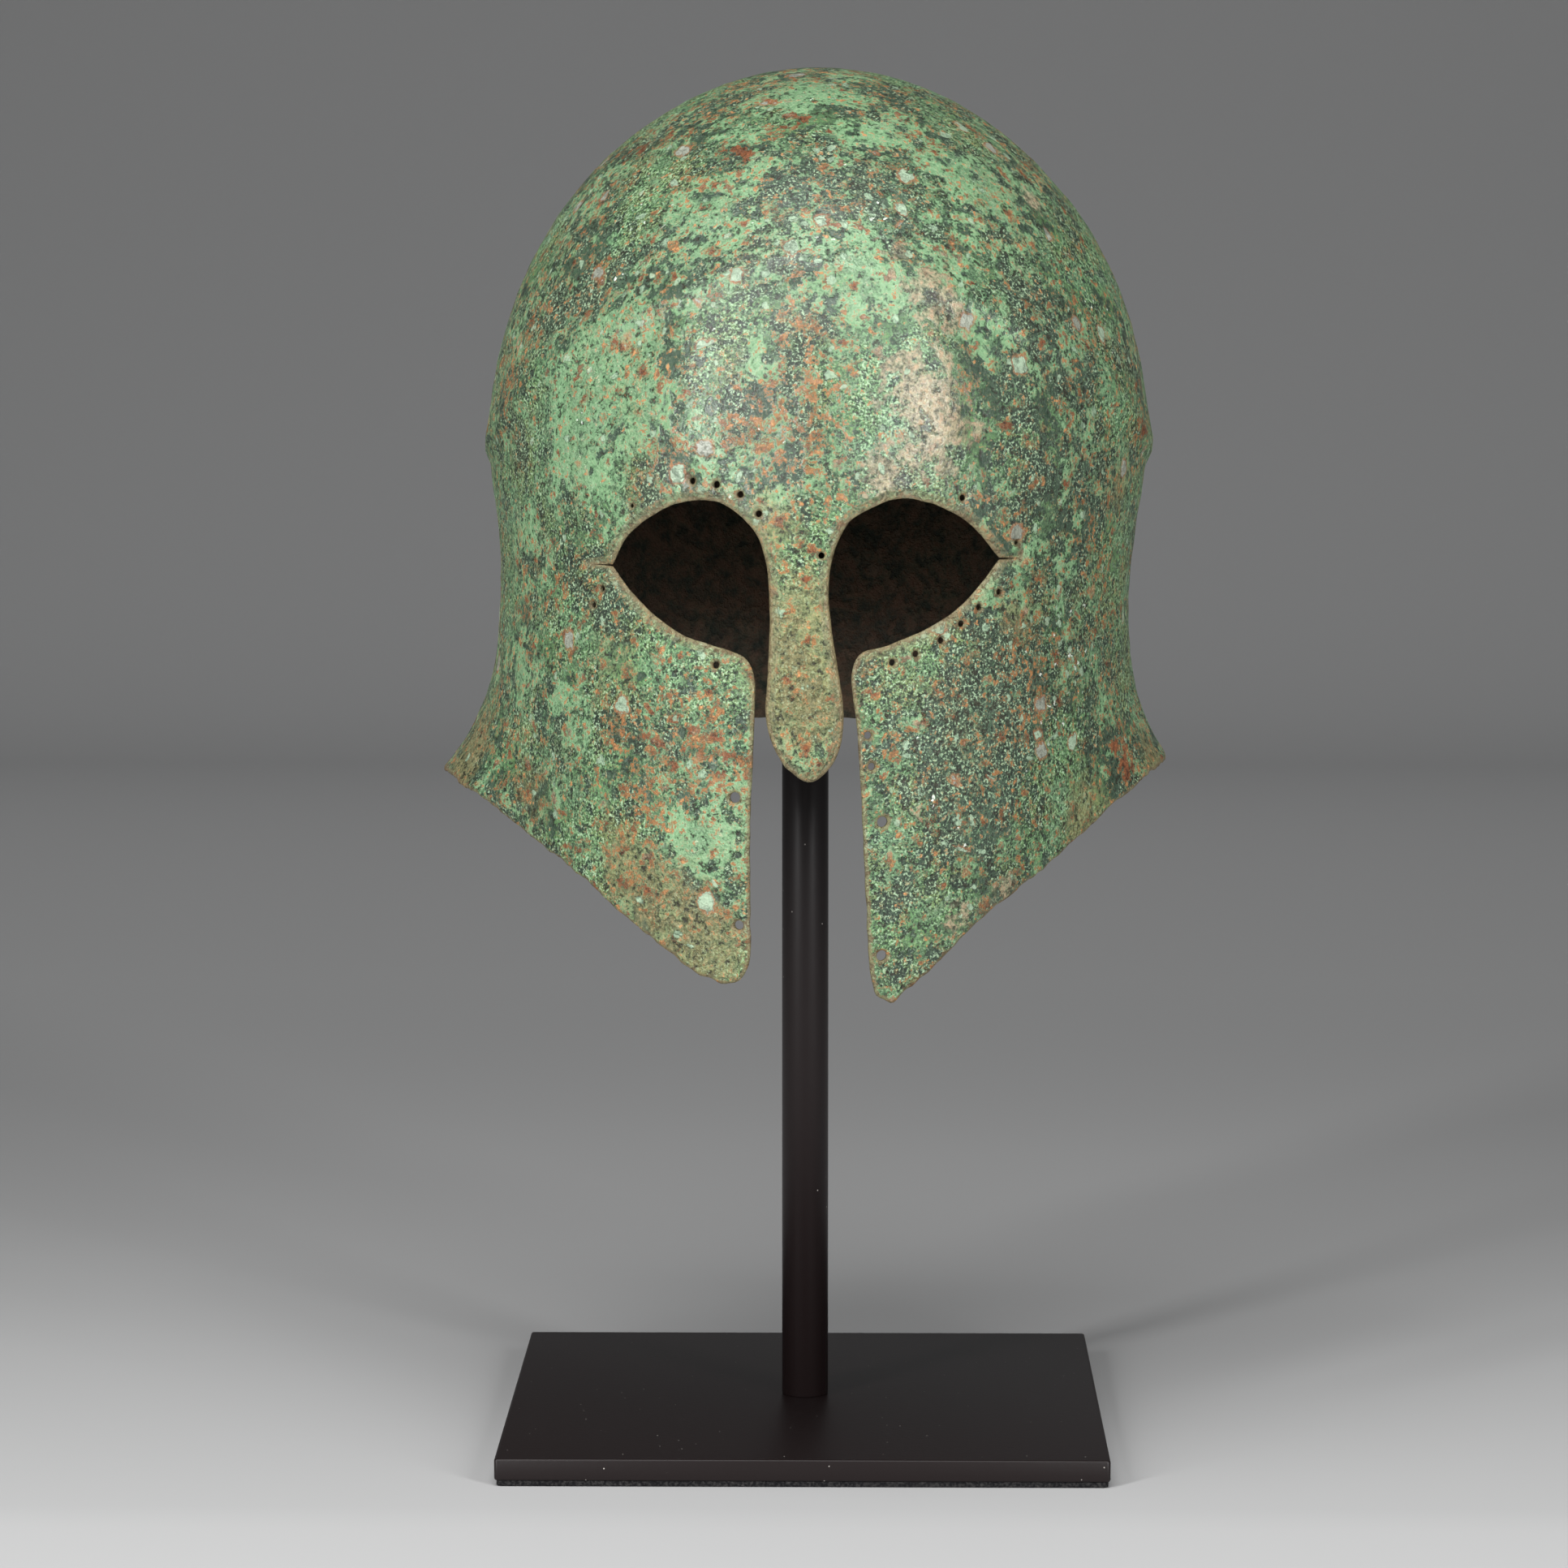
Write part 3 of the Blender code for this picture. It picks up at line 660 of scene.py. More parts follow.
def sheet_relief(sheet, sizes, gap, filed):
    """Heights of the outer and the inner face over the plain surface, and the thickness."""
    bevel = -sizes.bevel_fall * np.clip(1.0 - gap / sizes.bevel, 0.0, 1.0)
    bevel += 0.12 * MM * np.exp(-((gap - sizes.bevel) / (0.6 * MM)) ** 2)
    rounded = -0.4 * MM * np.clip(1.0 - gap / (1.1 * MM), 0.0, 1.0) ** 2
    hammered = sizes.dents * smooth_noise(sheet.points, HAMMER_WAVE)
    hammered += 0.4 * sizes.dents * smooth_noise(sheet.points, HAMMER_RIPPLE, 7.0)
    crust = 0.10 * MM * smooth_noise(sheet.points, CRUST_GRAIN, 3.0)
    crust += 0.16 * MM * ease((smooth_noise(sheet.points, CRUST_PATCH, 11.0) - 0.15) / 0.2)
    away = ease(gap / (6 * MM))
    outer = filed * bevel + (1.0 - filed) * rounded + crust * ease(gap / (3 * MM))
    outer += (hammered + brow_ridge(sheet.angle, sheet.points)
              + temple_folds(sheet.angle, sheet.points)) * away

    wall = sizes.wall + (sizes.nose_wall - sizes.wall) * on_nose(sheet.points)
    inner = hammered * away - wall + 0.35 * MM * np.clip(1.0 - gap / MM, 0.0, 1.0) ** 2
    inner += 0.10 * MM * smooth_noise(sheet.points, 5 * MM, 21.0) * away
    return outer, inner, wall


def sheet_lips(sheet, outer, inner, wall):
    """Two rows of points that round the sheet's edge between its faces."""
    edge_count = len(sheet.edge_places)
    edge_normals = np.concatenate([loop_normals(loop) for loop in sheet.loops])
    step = 0.2 * MM
    moved = sheet.edge_places + edge_normals * step
    into = skin(moved[:, 0], run_at(moved[:, 1])) - sheet.points[:edge_count]
    into /= np.linalg.norm(into, axis=1)[:, None]
    lip = 0.12 * wall[:edge_count, None]
    lip[len(sheet.loops[0]):] *= 0.3
    outer, inner = outer[:edge_count], inner[:edge_count]
    return outer * 0.7 + inner * 0.3 - into * lip, outer * 0.3 + inner * 0.7 - into * lip


def closed_faces(faces, total, edge_count):
    """Both faces of the sheet and three rows of quads round its edges."""
    sides = np.concatenate((faces[:, [0, 1]], faces[:, [1, 2]], faces[:, [2, 0]]))
    _, first, uses = np.unique(np.sort(sides, axis=1), axis=0, return_index=True,
                               return_counts=True)
    a, b = sides[first[uses == 1]].T
    low = 2 * total
    everything = faces.tolist() + (faces[:, ::-1] + total).tolist()
    for quad in ((b, a, low + a, low + b),
                 (low + b, low + a, low + edge_count + a, low + edge_count + b),
                 (low + edge_count + b, low + edge_count + a, total + a, total + b)):
        everything += np.stack(quad, axis=1).tolist()
    return everything


def build_sheet_mesh(sizes):
    """The beaten sheet: both faces, rounded edges and filed bevels, as one closed mesh."""
    sheet = Sheet(sizes)
    count = len(sheet.points)
    edge_count = len(sheet.edge_places)
    normals = sheet_normals(sheet)
    gap, filed = edge_distances(sheet)
    outer_relief, inner_relief, wall = sheet_relief(sheet, sizes, gap, filed)
    outer = sheet.points + normals * outer_relief[:, None]
    inner = sheet.points + normals * inner_relief[:, None]
    upper_lip, lower_lip = sheet_lips(sheet, outer, inner, wall)

    used = np.zeros(count, dtype=bool)
    used[sheet.faces] = True
    assert used[:edge_count].all()
    place = np.full(count, -1)
    place[used] = np.arange(used.sum())
    total = int(used.sum())
    points = np.concatenate((outer[used], inner[used], upper_lip, lower_lip))
    data = bpy.data.meshes.new("helmet_sheet")
    data.from_pydata(points.tolist(), [], closed_faces(place[sheet.faces], total, edge_count))
    data.shade_smooth()

    # What the material reads: distance from the edge in millimetres, the filed band, the
    # inside, the height bent along the brow's arch, and the patina's layers
    plain = sheet.points
    spots = np.concatenate((plain[used], plain[used], plain[:edge_count], plain[:edge_count]))
    ahead = np.maximum(-spots[:, 1], 0.0) / np.hypot(spots[:, 0], spots[:, 1])
    skull = ease((spots[:, 2] - WIDEST_Z + 20 * MM) / (40 * MM))
    values = {
        "edge_gap": np.concatenate((gap[used], gap[used], np.zeros(2 * edge_count))) / MM,
        "filed": np.concatenate((filed[used], filed[used], filed[:edge_count],
                                 filed[:edge_count])),
        "inside": np.concatenate((np.zeros(total), np.ones(total), np.zeros(edge_count),
                                  np.full(edge_count, 0.6))),
        "arch": spots[:, 2] - RIDGE_ARCH * ahead ** 2 * skull,
    }
    for layer, base, wave in LAYERS:
        values[layer] = patch_share(layer, base, wave, spots)
    for name, numbers in values.items():
        attribute = data.attributes.new(name, "FLOAT", "POINT")
        attribute.data.foreach_set("value", numbers.astype(np.float32))
    return data


def add_node(tree, kind, inputs=None, **settings):
    """Adds a node with its settings; inputs take values or other nodes' sockets."""
    node = tree.nodes.new(kind)
    for name, value in settings.items():
        setattr(node, name, value)
    for key, value in (inputs or {}).items():
        if isinstance(value, bpy.types.NodeSocket):
            tree.links.new(value, node.inputs[key])
        else:
            node.inputs[key].default_value = value
    return node


def fill_ramp(ramp, stops):
    """Gives a colour ramp its stops, from places inside 0 and 1 and linear colours."""
    for position, colour in stops:
        ramp.elements.new(position).color = (*colour, 1.0)
    ramp.elements.remove(ramp.elements[-1])
    ramp.elements.remove(ramp.elements[0])


def new_material(name):
    """An empty material with its shader, ready for nodes."""
    material = bpy.data.materials.new(name)
    material.use_nodes = True
    tree = material.node_tree
    return material, tree, tree.nodes["Principled BSDF"]


def patina_noises(tree, place, arch):
    """Noises of the patina, from slow clouds to its grain."""
    # On the skull the colour lies in bands that arch over the forehead as the ridge does
    apart = add_node(tree, "ShaderNodeSeparateXYZ", {"Vector": place}).outputs
    arched = add_node(tree, "ShaderNodeCombineXYZ",
                      {"X": apart["X"], "Y": apart["Y"], "Z": arch}).outputs[0]
    banded = add_node(tree, "ShaderNodeMapping",
                      {"Vector": arched, "Scale": (0.42, 0.42, 1.0)}).outputs[0]
    noises = {}
    # The real grain is 0.3 to 0.6 mm, drawn a little coarser so that the picture keeps it
    for name, vector, size, detail, rough, seed in (
            ("clouds", banded, 17.0, 5.0, 0.60, 0.0), ("blotches", place, 9.0, 6.0, 0.64, 3.1),
            ("islands", place, 4.6, 6.0, 0.66, 7.3), ("specks", place, 1.7, 5.0, 0.68, 12.7),
            ("roughness", arched, 14.0, 5.0, 0.60, 15.9), ("grit", place, 0.72, 3.0, 0.65, 19.1)):
        noises[name] = add_node(
            tree, "ShaderNodeTexNoise",
            {"Vector": vector, "W": seed, "Scale": 1.0 / (size * MM), "Detail": detail,
             "Roughness": rough, "Distortion": 0.2}, noise_dimensions="4D").outputs["Fac"]
    noises["mottle"] = add_node(
        tree, "ShaderNodeMix", {0: 0.5, 2: noises["blotches"], 3: noises["islands"]}).outputs[0]

    # Rust gathers where both the islands and the specks are high
    rusty = add_node(tree, "ShaderNodeMath", {0: noises["specks"], 1: 1.5, 2: noises["islands"]},
                     operation="MULTIPLY_ADD").outputs[0]
    noises["rusty"] = add_node(tree, "ShaderNodeMath", {0: rusty, 1: 2.5},
                               operation="DIVIDE").outputs[0]
    return noises


def patina_cuts(tree, noises, share):
    """Masks of the patina: a noise shifted by a layer's share, then cut to an edge."""
    cuts = {}
    for name, noise_name, layer, weight, low, high in (
            ("pale zone", "mottle", "pale", 0.15, 0.550, 0.580),
            ("pale rim", "mottle", "pale", 0.15, 0.520, 0.545),
            ("dark zone", "mottle", "dark", -0.14, 0.450, 0.425),
            ("coarse", "roughness", "pale", -0.10, 0.34, 0.48),
            ("cuprite", "islands", "scabs", 0.19, 0.640, 0.655),
            ("cuprite halo", "islands", "scabs", 0.19, 0.575, 0.635),
            ("outline", "islands", "scabs", 0.19, 0.622, 0.638),
            ("orange rust", "rusty", "rust", 0.06, 0.570, 0.586),
            ("peach halo", "rusty", "rust", 0.06, 0.546, 0.572),
            ("tan crust and painted highlight", "mottle", "tan", 0.20, 0.590, 0.640),
            ("warm grains", "specks", "rust", 0.04, 0.580, 0.620),
            ("grey grains", "grit", "dark", -0.05, 0.47, 0.42),
            ("pits", "specks", "dark", -0.03, 0.405, 0.380),
            ("chips", "specks", "pale", 0.03, 0.605, 0.640),
            ("tan stain and painted highlight", "islands", "tan", 0.40, 0.62, 0.90),
            ("ochre film", "islands", "ochre", 0.36, 0.54, 0.84)):
        total = add_node(tree, "ShaderNodeMath",
                         {0: share[layer], 1: weight, 2: noises[noise_name]},
                         operation="MULTIPLY_ADD")
        cuts[name] = add_node(tree, "ShaderNodeMapRange",
                              {"Value": total.outputs[0], "From Min": low, "From Max": high},
                              interpolation_type="SMOOTHSTEP").outputs["Result"]
    return cuts


def add_flakes(tree, place, often, cuts):
    """Adds the masks of the flakes: one to a cell, only in some cells, most with a rim."""
    drift = add_node(tree, "ShaderNodeTexNoise",
                     {"Vector": place, "Scale": 1.0 / (3.2 * MM), "Detail": 5.0,
                      "Roughness": 0.62}).outputs["Color"]
    bent = add_node(tree, "ShaderNodeVectorMath", {0: drift, 1: (5.0 * MM,) * 3, 2: place},
                    operation="MULTIPLY_ADD").outputs[0]
    for name, size, rare, reach, rims in (("flake", 8.0, 0.985, 0.33, 1),
                                          ("mint flake", 3.6, 0.985, 0.36, 1),
                                          ("white speck", 2.2, 1.08, 0.24, 0)):
        cell = add_node(tree, "ShaderNodeTexVoronoi",
                        {"Vector": bent, "Scale": 1.0 / (size * MM), "Randomness": 1.0})
        pick = add_node(tree, "ShaderNodeSeparateColor", {"Color": cell.outputs["Color"]})
        chance = add_node(tree, "ShaderNodeMath", {0: often, 1: 0.25, 2: pick.outputs["Red"]},
                          operation="MULTIPLY_ADD").outputs[0]
        chosen = add_node(tree, "ShaderNodeMath", {0: chance, 1: rare},
                          operation="GREATER_THAN").outputs[0]
        rings = [(name, reach - 0.04, reach)] + [(name + " rim", reach, reach + 0.10)] * rims
        for part, inner, outer in rings:
            near = add_node(tree, "ShaderNodeMapRange",
                            {"Value": cell.outputs["Distance"], "From Min": outer,
                             "From Max": inner}).outputs["Result"]
            cuts[part] = add_node(tree, "ShaderNodeMath", {0: near, 1: chosen},
                                  operation="MULTIPLY").outputs[0]
        if name == "flake":
            minty = add_node(tree, "ShaderNodeMath", {0: pick.outputs["Green"], 1: 0.45},
                             operation="GREATER_THAN").outputs[0]
            cuts["mint patch"] = add_node(tree, "ShaderNodeMath", {0: cuts["flake"], 1: minty},
                                          operation="MULTIPLY").outputs[0]


def add_edge_wear(tree, noises, share, cuts):
    """Adds the wear along the sheet's edges and the filed band."""
    ragged = add_node(tree, "ShaderNodeMath", {0: noises["specks"], 1: 5.0, 2: share["edge_gap"]},
                      operation="MULTIPLY_ADD").outputs[0]
    cuts["worn"] = add_node(tree, "ShaderNodeMapRange",
                            {"Value": ragged, "From Min": 3.3, "From Max": 3.0}).outputs["Result"]
    near = add_node(tree, "ShaderNodeMapRange", {"Value": share["edge_gap"], "From Min": 2.5,
                                                 "From Max": 2.2}).outputs["Result"]
    cuts["filed"] = add_node(tree, "ShaderNodeMath", {0: near, 1: share["filed"]},
                             operation="MULTIPLY").outputs[0]
    cuts["inside"] = share["inside"]


def add_grit(tree, noises, share, cuts):
    """Adds the slow drifts of colour, the thin outlines of the dark zones and the grit."""
    for name, noise_name, low, high in (("cool", "clouds", 0.50, 0.66),
                                        ("olive", "roughness", 0.50, 0.60)):
        cuts[name] = add_node(tree, "ShaderNodeMapRange",
                              {"Value": noises[noise_name], "From Min": low,
                               "From Max": high}).outputs["Result"]

    # Thin orange outlines, broken up, run along the dark zones
    edge = add_node(tree, "ShaderNodeMath", {0: share["dark"], 1: -0.14, 2: noises["mottle"]},
                    operation="MULTIPLY_ADD").outputs[0]
    edge = add_node(tree, "ShaderNodeMath", {0: edge, 1: 0.452, 2: 0.004},
                    operation="COMPARE").outputs[0]
    broken = add_node(tree, "ShaderNodeMath", {0: noises["islands"], 1: 0.53},
                      operation="GREATER_THAN").outputs[0]
    cuts["contour"] = add_node(tree, "ShaderNodeMath", {0: edge, 1: broken},
                               operation="MULTIPLY").outputs[0]

    for name, low, high in (("dark grit", 0.475, 0.42), ("pale grit", 0.535, 0.60)):
        grain = add_node(tree, "ShaderNodeMapRange",
                         {"Value": noises["grit"], "From Min": low,
                          "From Max": high}).outputs["Result"]
        cuts[name] = add_node(tree, "ShaderNodeMath", {0: grain, 1: cuts["coarse"]},
                              operation="MULTIPLY").outputs[0]


def patina_green(tree, noises, colours):
    """Green skin: slow drift from blue-black to mint, with finer marbling."""
    drift = noises["mottle"]
    for name, weight in (("clouds", 0.40), ("specks", 0.50)):
        drift = add_node(tree, "ShaderNodeMath", {0: noises[name], 1: weight, 2: drift},
                         operation="MULTIPLY_ADD").outputs[0]
    drift = add_node(tree, "ShaderNodeMath", {0: drift, 1: 1.9}, operation="DIVIDE").outputs[0]
    greens = add_node(tree, "ShaderNodeValToRGB", {"Fac": drift})
    fill_ramp(greens.color_ramp, (
        (0.42, linear("#26301f")), (0.46, linear("#3f5238")), (0.50, linear("#567a4b")),
        (0.54, linear("#729b64")), (0.585, linear("#9bc08d"))))
    return add_node(tree, "ShaderNodeMix",
                    {0: 0.20, 6: greens.outputs["Color"], 7: (*colours.malachite, 1.0)},
                    data_type="RGBA").outputs[2]


def patina_grains(tree, noises, colours):
    """Colours of the patina's parts, each mottled between two tones."""
    grains = {}
    for name, noise_name, low, high, first, last in (
            ("skin", "specks", 0.38, 0.62, linear("#5f8a5e"), linear("#94b68c")),
            # The crust's pale pinkish end also paints the highlight over the wearer's left brow
            ("crust", "specks", 0.40, 0.60, linear("#565341"), linear("#b3a184")),
            ("rust", "specks", 0.38, 0.62, linear("#2e2119"), colours.cuprite),
            ("orange", "specks", 0.50, 0.66, linear("#6f4528"), linear("#b87c48")),
            ("ochre", "specks", 0.38, 0.62, linear("#4b4b2f"), linear("#93895c")),
            ("mint", "specks", 0.35, 0.65, linear("#7c977c"), linear("#a6bda0")),
            ("slate", "islands", 0.35, 0.65, linear("#6b776c"), linear("#a3ada0")),
            ("earth", "islands", 0.38, 0.62, linear("#30342a"), linear("#6a5140")),
            ("bevel", "specks", 0.38, 0.62, linear("#4e543b"), linear("#8d8563"))):
        grain = add_node(tree, "ShaderNodeValToRGB", {"Fac": noises[noise_name]})
        fill_ramp(grain.color_ramp, ((low, first), (high, last)))
        grains[name] = grain.outputs["Color"]
    return grains


def patina_paint(tree, paint, grains, cuts):
    """Lays the patina's colours one over the other on the green skin."""
    for name, strength, colour in (
            ("cool", 0.40, "#587a6c"),
            ("olive", 0.50, "#757a45"),
            ("dark zone", 0.80, "#27372e"),
            ("tan stain and painted highlight", 0.45, "#a5977a"),
            ("warm grains", 0.60, "#7d6543"),
            ("grey grains", 0.60, "#4b5849"),
            # Tan stain: real soil, and over the wearer's left brow partly a painted pinkish
            # highlight
            ("dark grit", 0.90, "#18221b"),
            ("pale grit", 0.75, "#a9c4a0"),
            ("pale rim", 0.45, "#33463a"),
            ("pale zone", 0.68, grains["skin"]),
            ("ochre film", 0.66, grains["ochre"]),
            ("chips", 0.60, "#b7c7a2"),
            ("pits", 0.85, "#2c281c"),
            ("peach halo", 0.35, "#a59873"),
            ("contour", 0.55, "#a06a44"),
            ("orange rust", 0.85, grains["orange"]),
            ("cuprite halo", 0.70, "#26322a"),
            ("outline", 0.80, "#a9714a"),
            ("cuprite", 0.95, grains["rust"]),
            # Tan crust: real soil, and over the wearer's left brow partly a painted pinkish
            # highlight
            ("tan crust and painted highlight", 0.75, grains["crust"]),
            ("mint flake rim", 0.30, "#4c5a44"),
            ("mint flake", 0.80, grains["mint"]),
            ("flake rim", 0.70, "#a06a48"),
            ("flake", 0.85, grains["slate"]),
            ("mint patch", 0.80, grains["mint"]),
            ("white speck", 0.80, "#dfe6da"),
            ("filed", 0.50, grains["bevel"]),
            ("worn", 0.65, "#77664a"),
            ("inside", 0.94, grains["earth"])):
        if isinstance(colour, str):
            colour = (*linear(colour), 1.0)
        amount = add_node(tree, "ShaderNodeMath", {0: cuts[name], 1: strength},
                          operation="MULTIPLY").outputs[0]
        paint = add_node(tree, "ShaderNodeMix", {0: amount, 6: paint, 7: colour},
                         data_type="RGBA").outputs[2]
    return paint


def patina_surface(tree, shader, place, noises, cuts):
    """Gloss, pits and wax of the patina."""
    # Smooth pale skin shines a little, crust and rust don't
    rough = add_node(tree, "ShaderNodeMapRange",
                     {"Value": noises["roughness"], "From Min": 0.35, "From Max": 0.65,
                      "To Min": 0.30, "To Max": 0.46}).outputs["Result"]
    for name in ("tan crust and painted highlight", "orange rust", "inside"):
        rough = add_node(tree, "ShaderNodeMix", {0: cuts[name], 2: rough, 3: 0.80}).outputs[0]
    tree.links.new(rough, shader.inputs["Roughness"])
    shader.inputs["Specular IOR Level"].default_value = 0.30

    grit = add_node(tree, "ShaderNodeMath", {0: cuts["coarse"], 1: 0.75, 2: 0.25},
                    operation="MULTIPLY_ADD").outputs[0]
    height = add_node(tree, "ShaderNodeMath", {0: grit, 1: noises["grit"]},
                      operation="MULTIPLY").outputs[0]
    for mask, rise in ((noises["specks"], 0.8), (noises["islands"], 1.2), (cuts["pits"], -0.45),
                       (cuts["chips"], 0.25), (cuts["pale rim"], -0.10),
                       (cuts["dark zone"], -0.40), (cuts["pale zone"], 0.40),
                       (cuts["tan crust and painted highlight"], 0.35), (cuts["cuprite"], -0.55), (cuts["flake"], 0.40),
                       (cuts["mint flake"], 0.30), (cuts["orange rust"], -0.15)):
        height = add_node(tree, "ShaderNodeMath", {0: mask, 1: rise, 2: height},
                          operation="MULTIPLY_ADD").outputs[0]
    # The thin wax that conservators rub in fills the finest pits, so its bump is weaker
    for strength, socket in ((1.0, "Normal"), (0.25, "Coat Normal")):
        bump = add_node(tree, "ShaderNodeBump",
                        {"Height": height, "Distance": 0.75 * MM, "Strength": strength})
        tree.links.new(bump.outputs["Normal"], shader.inputs[socket])

    # Least wax is left on the crusted cheeks. Seen along the surface, the grains hide it
    facing = add_node(tree, "ShaderNodeLayerWeight", {"Blend": 0.5}).outputs["Facing"]
    gloss = add_node(tree, "ShaderNodeMapRange",
                     {"Value": facing, "From Min": 0.15, "From Max": 0.65, "To Min": 0.8,
                      "To Max": 0.0}).outputs["Result"]
    level = add_node(tree, "ShaderNodeSeparateXYZ", {"Vector": place}).outputs["Z"]
    skull = add_node(tree, "ShaderNodeMapRange",
                     {"Value": level, "From Min": 272 * MM, "From Max": 300 * MM,
                      "To Min": 0.15}).outputs["Result"]
    waxed = add_node(tree, "ShaderNodeMath", {0: gloss, 1: skull}, operation="MULTIPLY").outputs[0]
    tree.links.new(waxed, shader.inputs["Coat Weight"])
    shader.inputs["Coat Roughness"].default_value = 0.20


def patina_material(colours):
    """Bronze buried for centuries: carbonates over cuprite, never cleaned to metal.

    Malachite grows as a fine-grained green skin, smooth and pale where thin, blackish where
    the tin oxide shows; cuprite breaks through in ragged red-brown islands with a thin orange
    outline; soil is cemented to it in a tan layer of crust, which over the wearer's left brow
    is partly a painted pinkish highlight; mint and grey flakes sit on top. The skull is waxed.
    The eye gets colour that changes at every millimetre, and a dull, slightly pitted skin with
    soft lights on the forehead.
    """
    material, tree, shader = new_material("patinated bronze")
    place = add_node(tree, "ShaderNodeTexCoord").outputs["Object"]
    share = {}
    for name in ["edge_gap", "filed", "inside", "arch"] + [row[0] for row in LAYERS]:
        share[name] = add_node(tree, "ShaderNodeAttribute", attribute_name=name).outputs["Fac"]
    noises = patina_noises(tree, place, share["arch"])
    cuts = patina_cuts(tree, noises, share)
    add_flakes(tree, place, share["flakes"], cuts)
    add_edge_wear(tree, noises, share, cuts)
    add_grit(tree, noises, share, cuts)
    skin_green = patina_green(tree, noises, colours)
    grains = patina_grains(tree, noises, colours)
    tree.links.new(patina_paint(tree, skin_green, grains, cuts), shader.inputs["Base Color"])
    patina_surface(tree, shader, place, noises, cuts)
    return material


def enamel_material(colours):
    """Steel sprayed with black powder and baked: satin, with a faint orange peel.

    Pale dust lies in the peel, most of it near the plate's lower edge.
    """
    material, tree, shader = new_material("black powder coat")
    place = add_node(tree, "ShaderNodeTexCoord").outputs["Object"]
    shader.inputs["Roughness"].default_value = 0.40
    shader.inputs["Specular IOR Level"].default_value = 0.26
    peel = add_node(tree, "ShaderNodeTexNoise",
                    {"Vector": place, "Scale": 1.0 / (1.6 * MM), "Detail": 3.0, "Roughness": 0.5})
    bump = add_node(tree, "ShaderNodeBump",
                    {"Height": peel.outputs["Fac"], "Distance": 0.03 * MM, "Strength": 0.8})
    tree.links.new(bump.outputs["Normal"], shader.inputs["Normal"])
    cell = add_node(tree, "ShaderNodeTexVoronoi", {"Vector": place, "Scale": 1.0 / (1.3 * MM)})
    pick = add_node(tree, "ShaderNodeSeparateColor", {"Color": cell.outputs["Color"]})
    height = add_node(tree, "ShaderNodeSeparateXYZ", {"Vector": place}).outputs["Z"]
    low = add_node(tree, "ShaderNodeMapRange", {"Value": height, "From Min": 4.5 * MM,
                                                "From Max": 1.8 * MM, "To Max": 0.10})
    often = add_node(tree, "ShaderNodeMath", {0: pick.outputs["Red"], 1: low.outputs["Result"]},
                     operation="ADD")
    chosen = add_node(tree, "ShaderNodeMath", {0: often.outputs[0], 1: 0.985},
                      operation="GREATER_THAN")
    speck = add_node(tree, "ShaderNodeMath", {0: cell.outputs["Distance"], 1: 0.16},
                     operation="LESS_THAN")
    dust = add_node(tree, "ShaderNodeMath", {0: chosen.outputs[0], 1: speck.outputs[0]},
                    operation="MULTIPLY")
    amount = add_node(tree, "ShaderNodeMath", {0: dust.outputs[0], 1: 0.6}, operation="MULTIPLY")
    paint = add_node(tree, "ShaderNodeMix",
                     {0: amount.outputs[0], 6: (*colours.enamel, 1.0),
                      7: (*linear("#b9b4ad"), 1.0)}, data_type="RGBA")
    tree.links.new(paint.outputs[2], shader.inputs["Base Color"])
    return material


def felt_material():
    """Black wool felt, pressed: no gloss, a little grey lint in the nap."""
    material, tree, shader = new_material("black wool felt")
    shader.inputs["Roughness"].default_value = 0.95
    shader.inputs["Specular IOR Level"].default_value = 0.15
    place = add_node(tree, "ShaderNodeTexCoord").outputs["Object"]
    nap = add_node(tree, "ShaderNodeTexNoise",
                   {"Vector": place, "Scale": 1.0 / (0.9 * MM), "Detail": 4.0, "Roughness": 0.7})
    paint = add_node(tree, "ShaderNodeValToRGB", {"Fac": nap.outputs["Fac"]})
    fill_ramp(paint.color_ramp, ((0.45, linear("#101012")), (0.72, linear("#3a3938"))))
    tree.links.new(paint.outputs["Color"], shader.inputs["Base Color"])
    bump = add_node(tree, "ShaderNodeBump", {"Height": nap.outputs["Fac"], "Distance": 0.3 * MM})
    tree.links.new(bump.outputs["Normal"], shader.inputs["Normal"])
    return material


def add_piece(name, data, material, slot, *nodes):
    """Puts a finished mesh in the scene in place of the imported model's nodes."""
    piece = bpy.data.objects.new(name, data)
    bpy.context.collection.objects.link(piece)
    data.materials.clear()
    data.materials.append(material)
    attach(piece, "root")
    if nodes:
        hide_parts(*nodes)
    return piece


class HELMET_OT_sheet(bpy.types.Operator):
    """Beat the helmet's sheet and give it its patina"""

    bl_idname = "helmet.sheet"
    bl_label = "Helmet sheet"

    def execute(self, context):
        settings = context.scene
        data = build_sheet_mesh(settings.helmet_sizes)
        add_piece("helmet_sheet", data, patina_material(settings.helmet_colours),
                  "patinated_bronze", "helmet_shell")
        return {"FINISHED"}


def rounded_slab(width, low, high, corner, edge, segments):
    """A square slab with rounded upright corners and eased edges, as a mesh."""
    slab = bmesh.new()
    bmesh.ops.create_cube(slab, size=1.0)
    bmesh.ops.scale(slab, vec=(width, width, high - low), verts=slab.verts)
    bmesh.ops.translate(slab, vec=(0.0, 0.0, (low + high) / 2), verts=slab.verts)
    upright = [side for side in slab.edges
               if abs(side.verts[0].co.z - side.verts[1].co.z) > 0.5 * (high - low)]
    bmesh.ops.bevel(slab, geom=upright, offset=corner, segments=segments, profile=0.5,
                    affect="EDGES")
    rims = []
    for side in slab.edges:
        facing = [face.normal.z for face in side.link_faces]
        if len(facing) == 2 and abs(facing[0] - facing[1]) > 0.5:
            rims.append(side)
    bmesh.ops.bevel(slab, geom=rims, offset=edge, segments=segments, profile=0.5, affect="EDGES")
    data = bpy.data.meshes.new("slab")
    slab.to_mesh(data)
    slab.free()
    data.shade_smooth()
    data.set_sharp_from_angle(angle=math.radians(35))
    return data


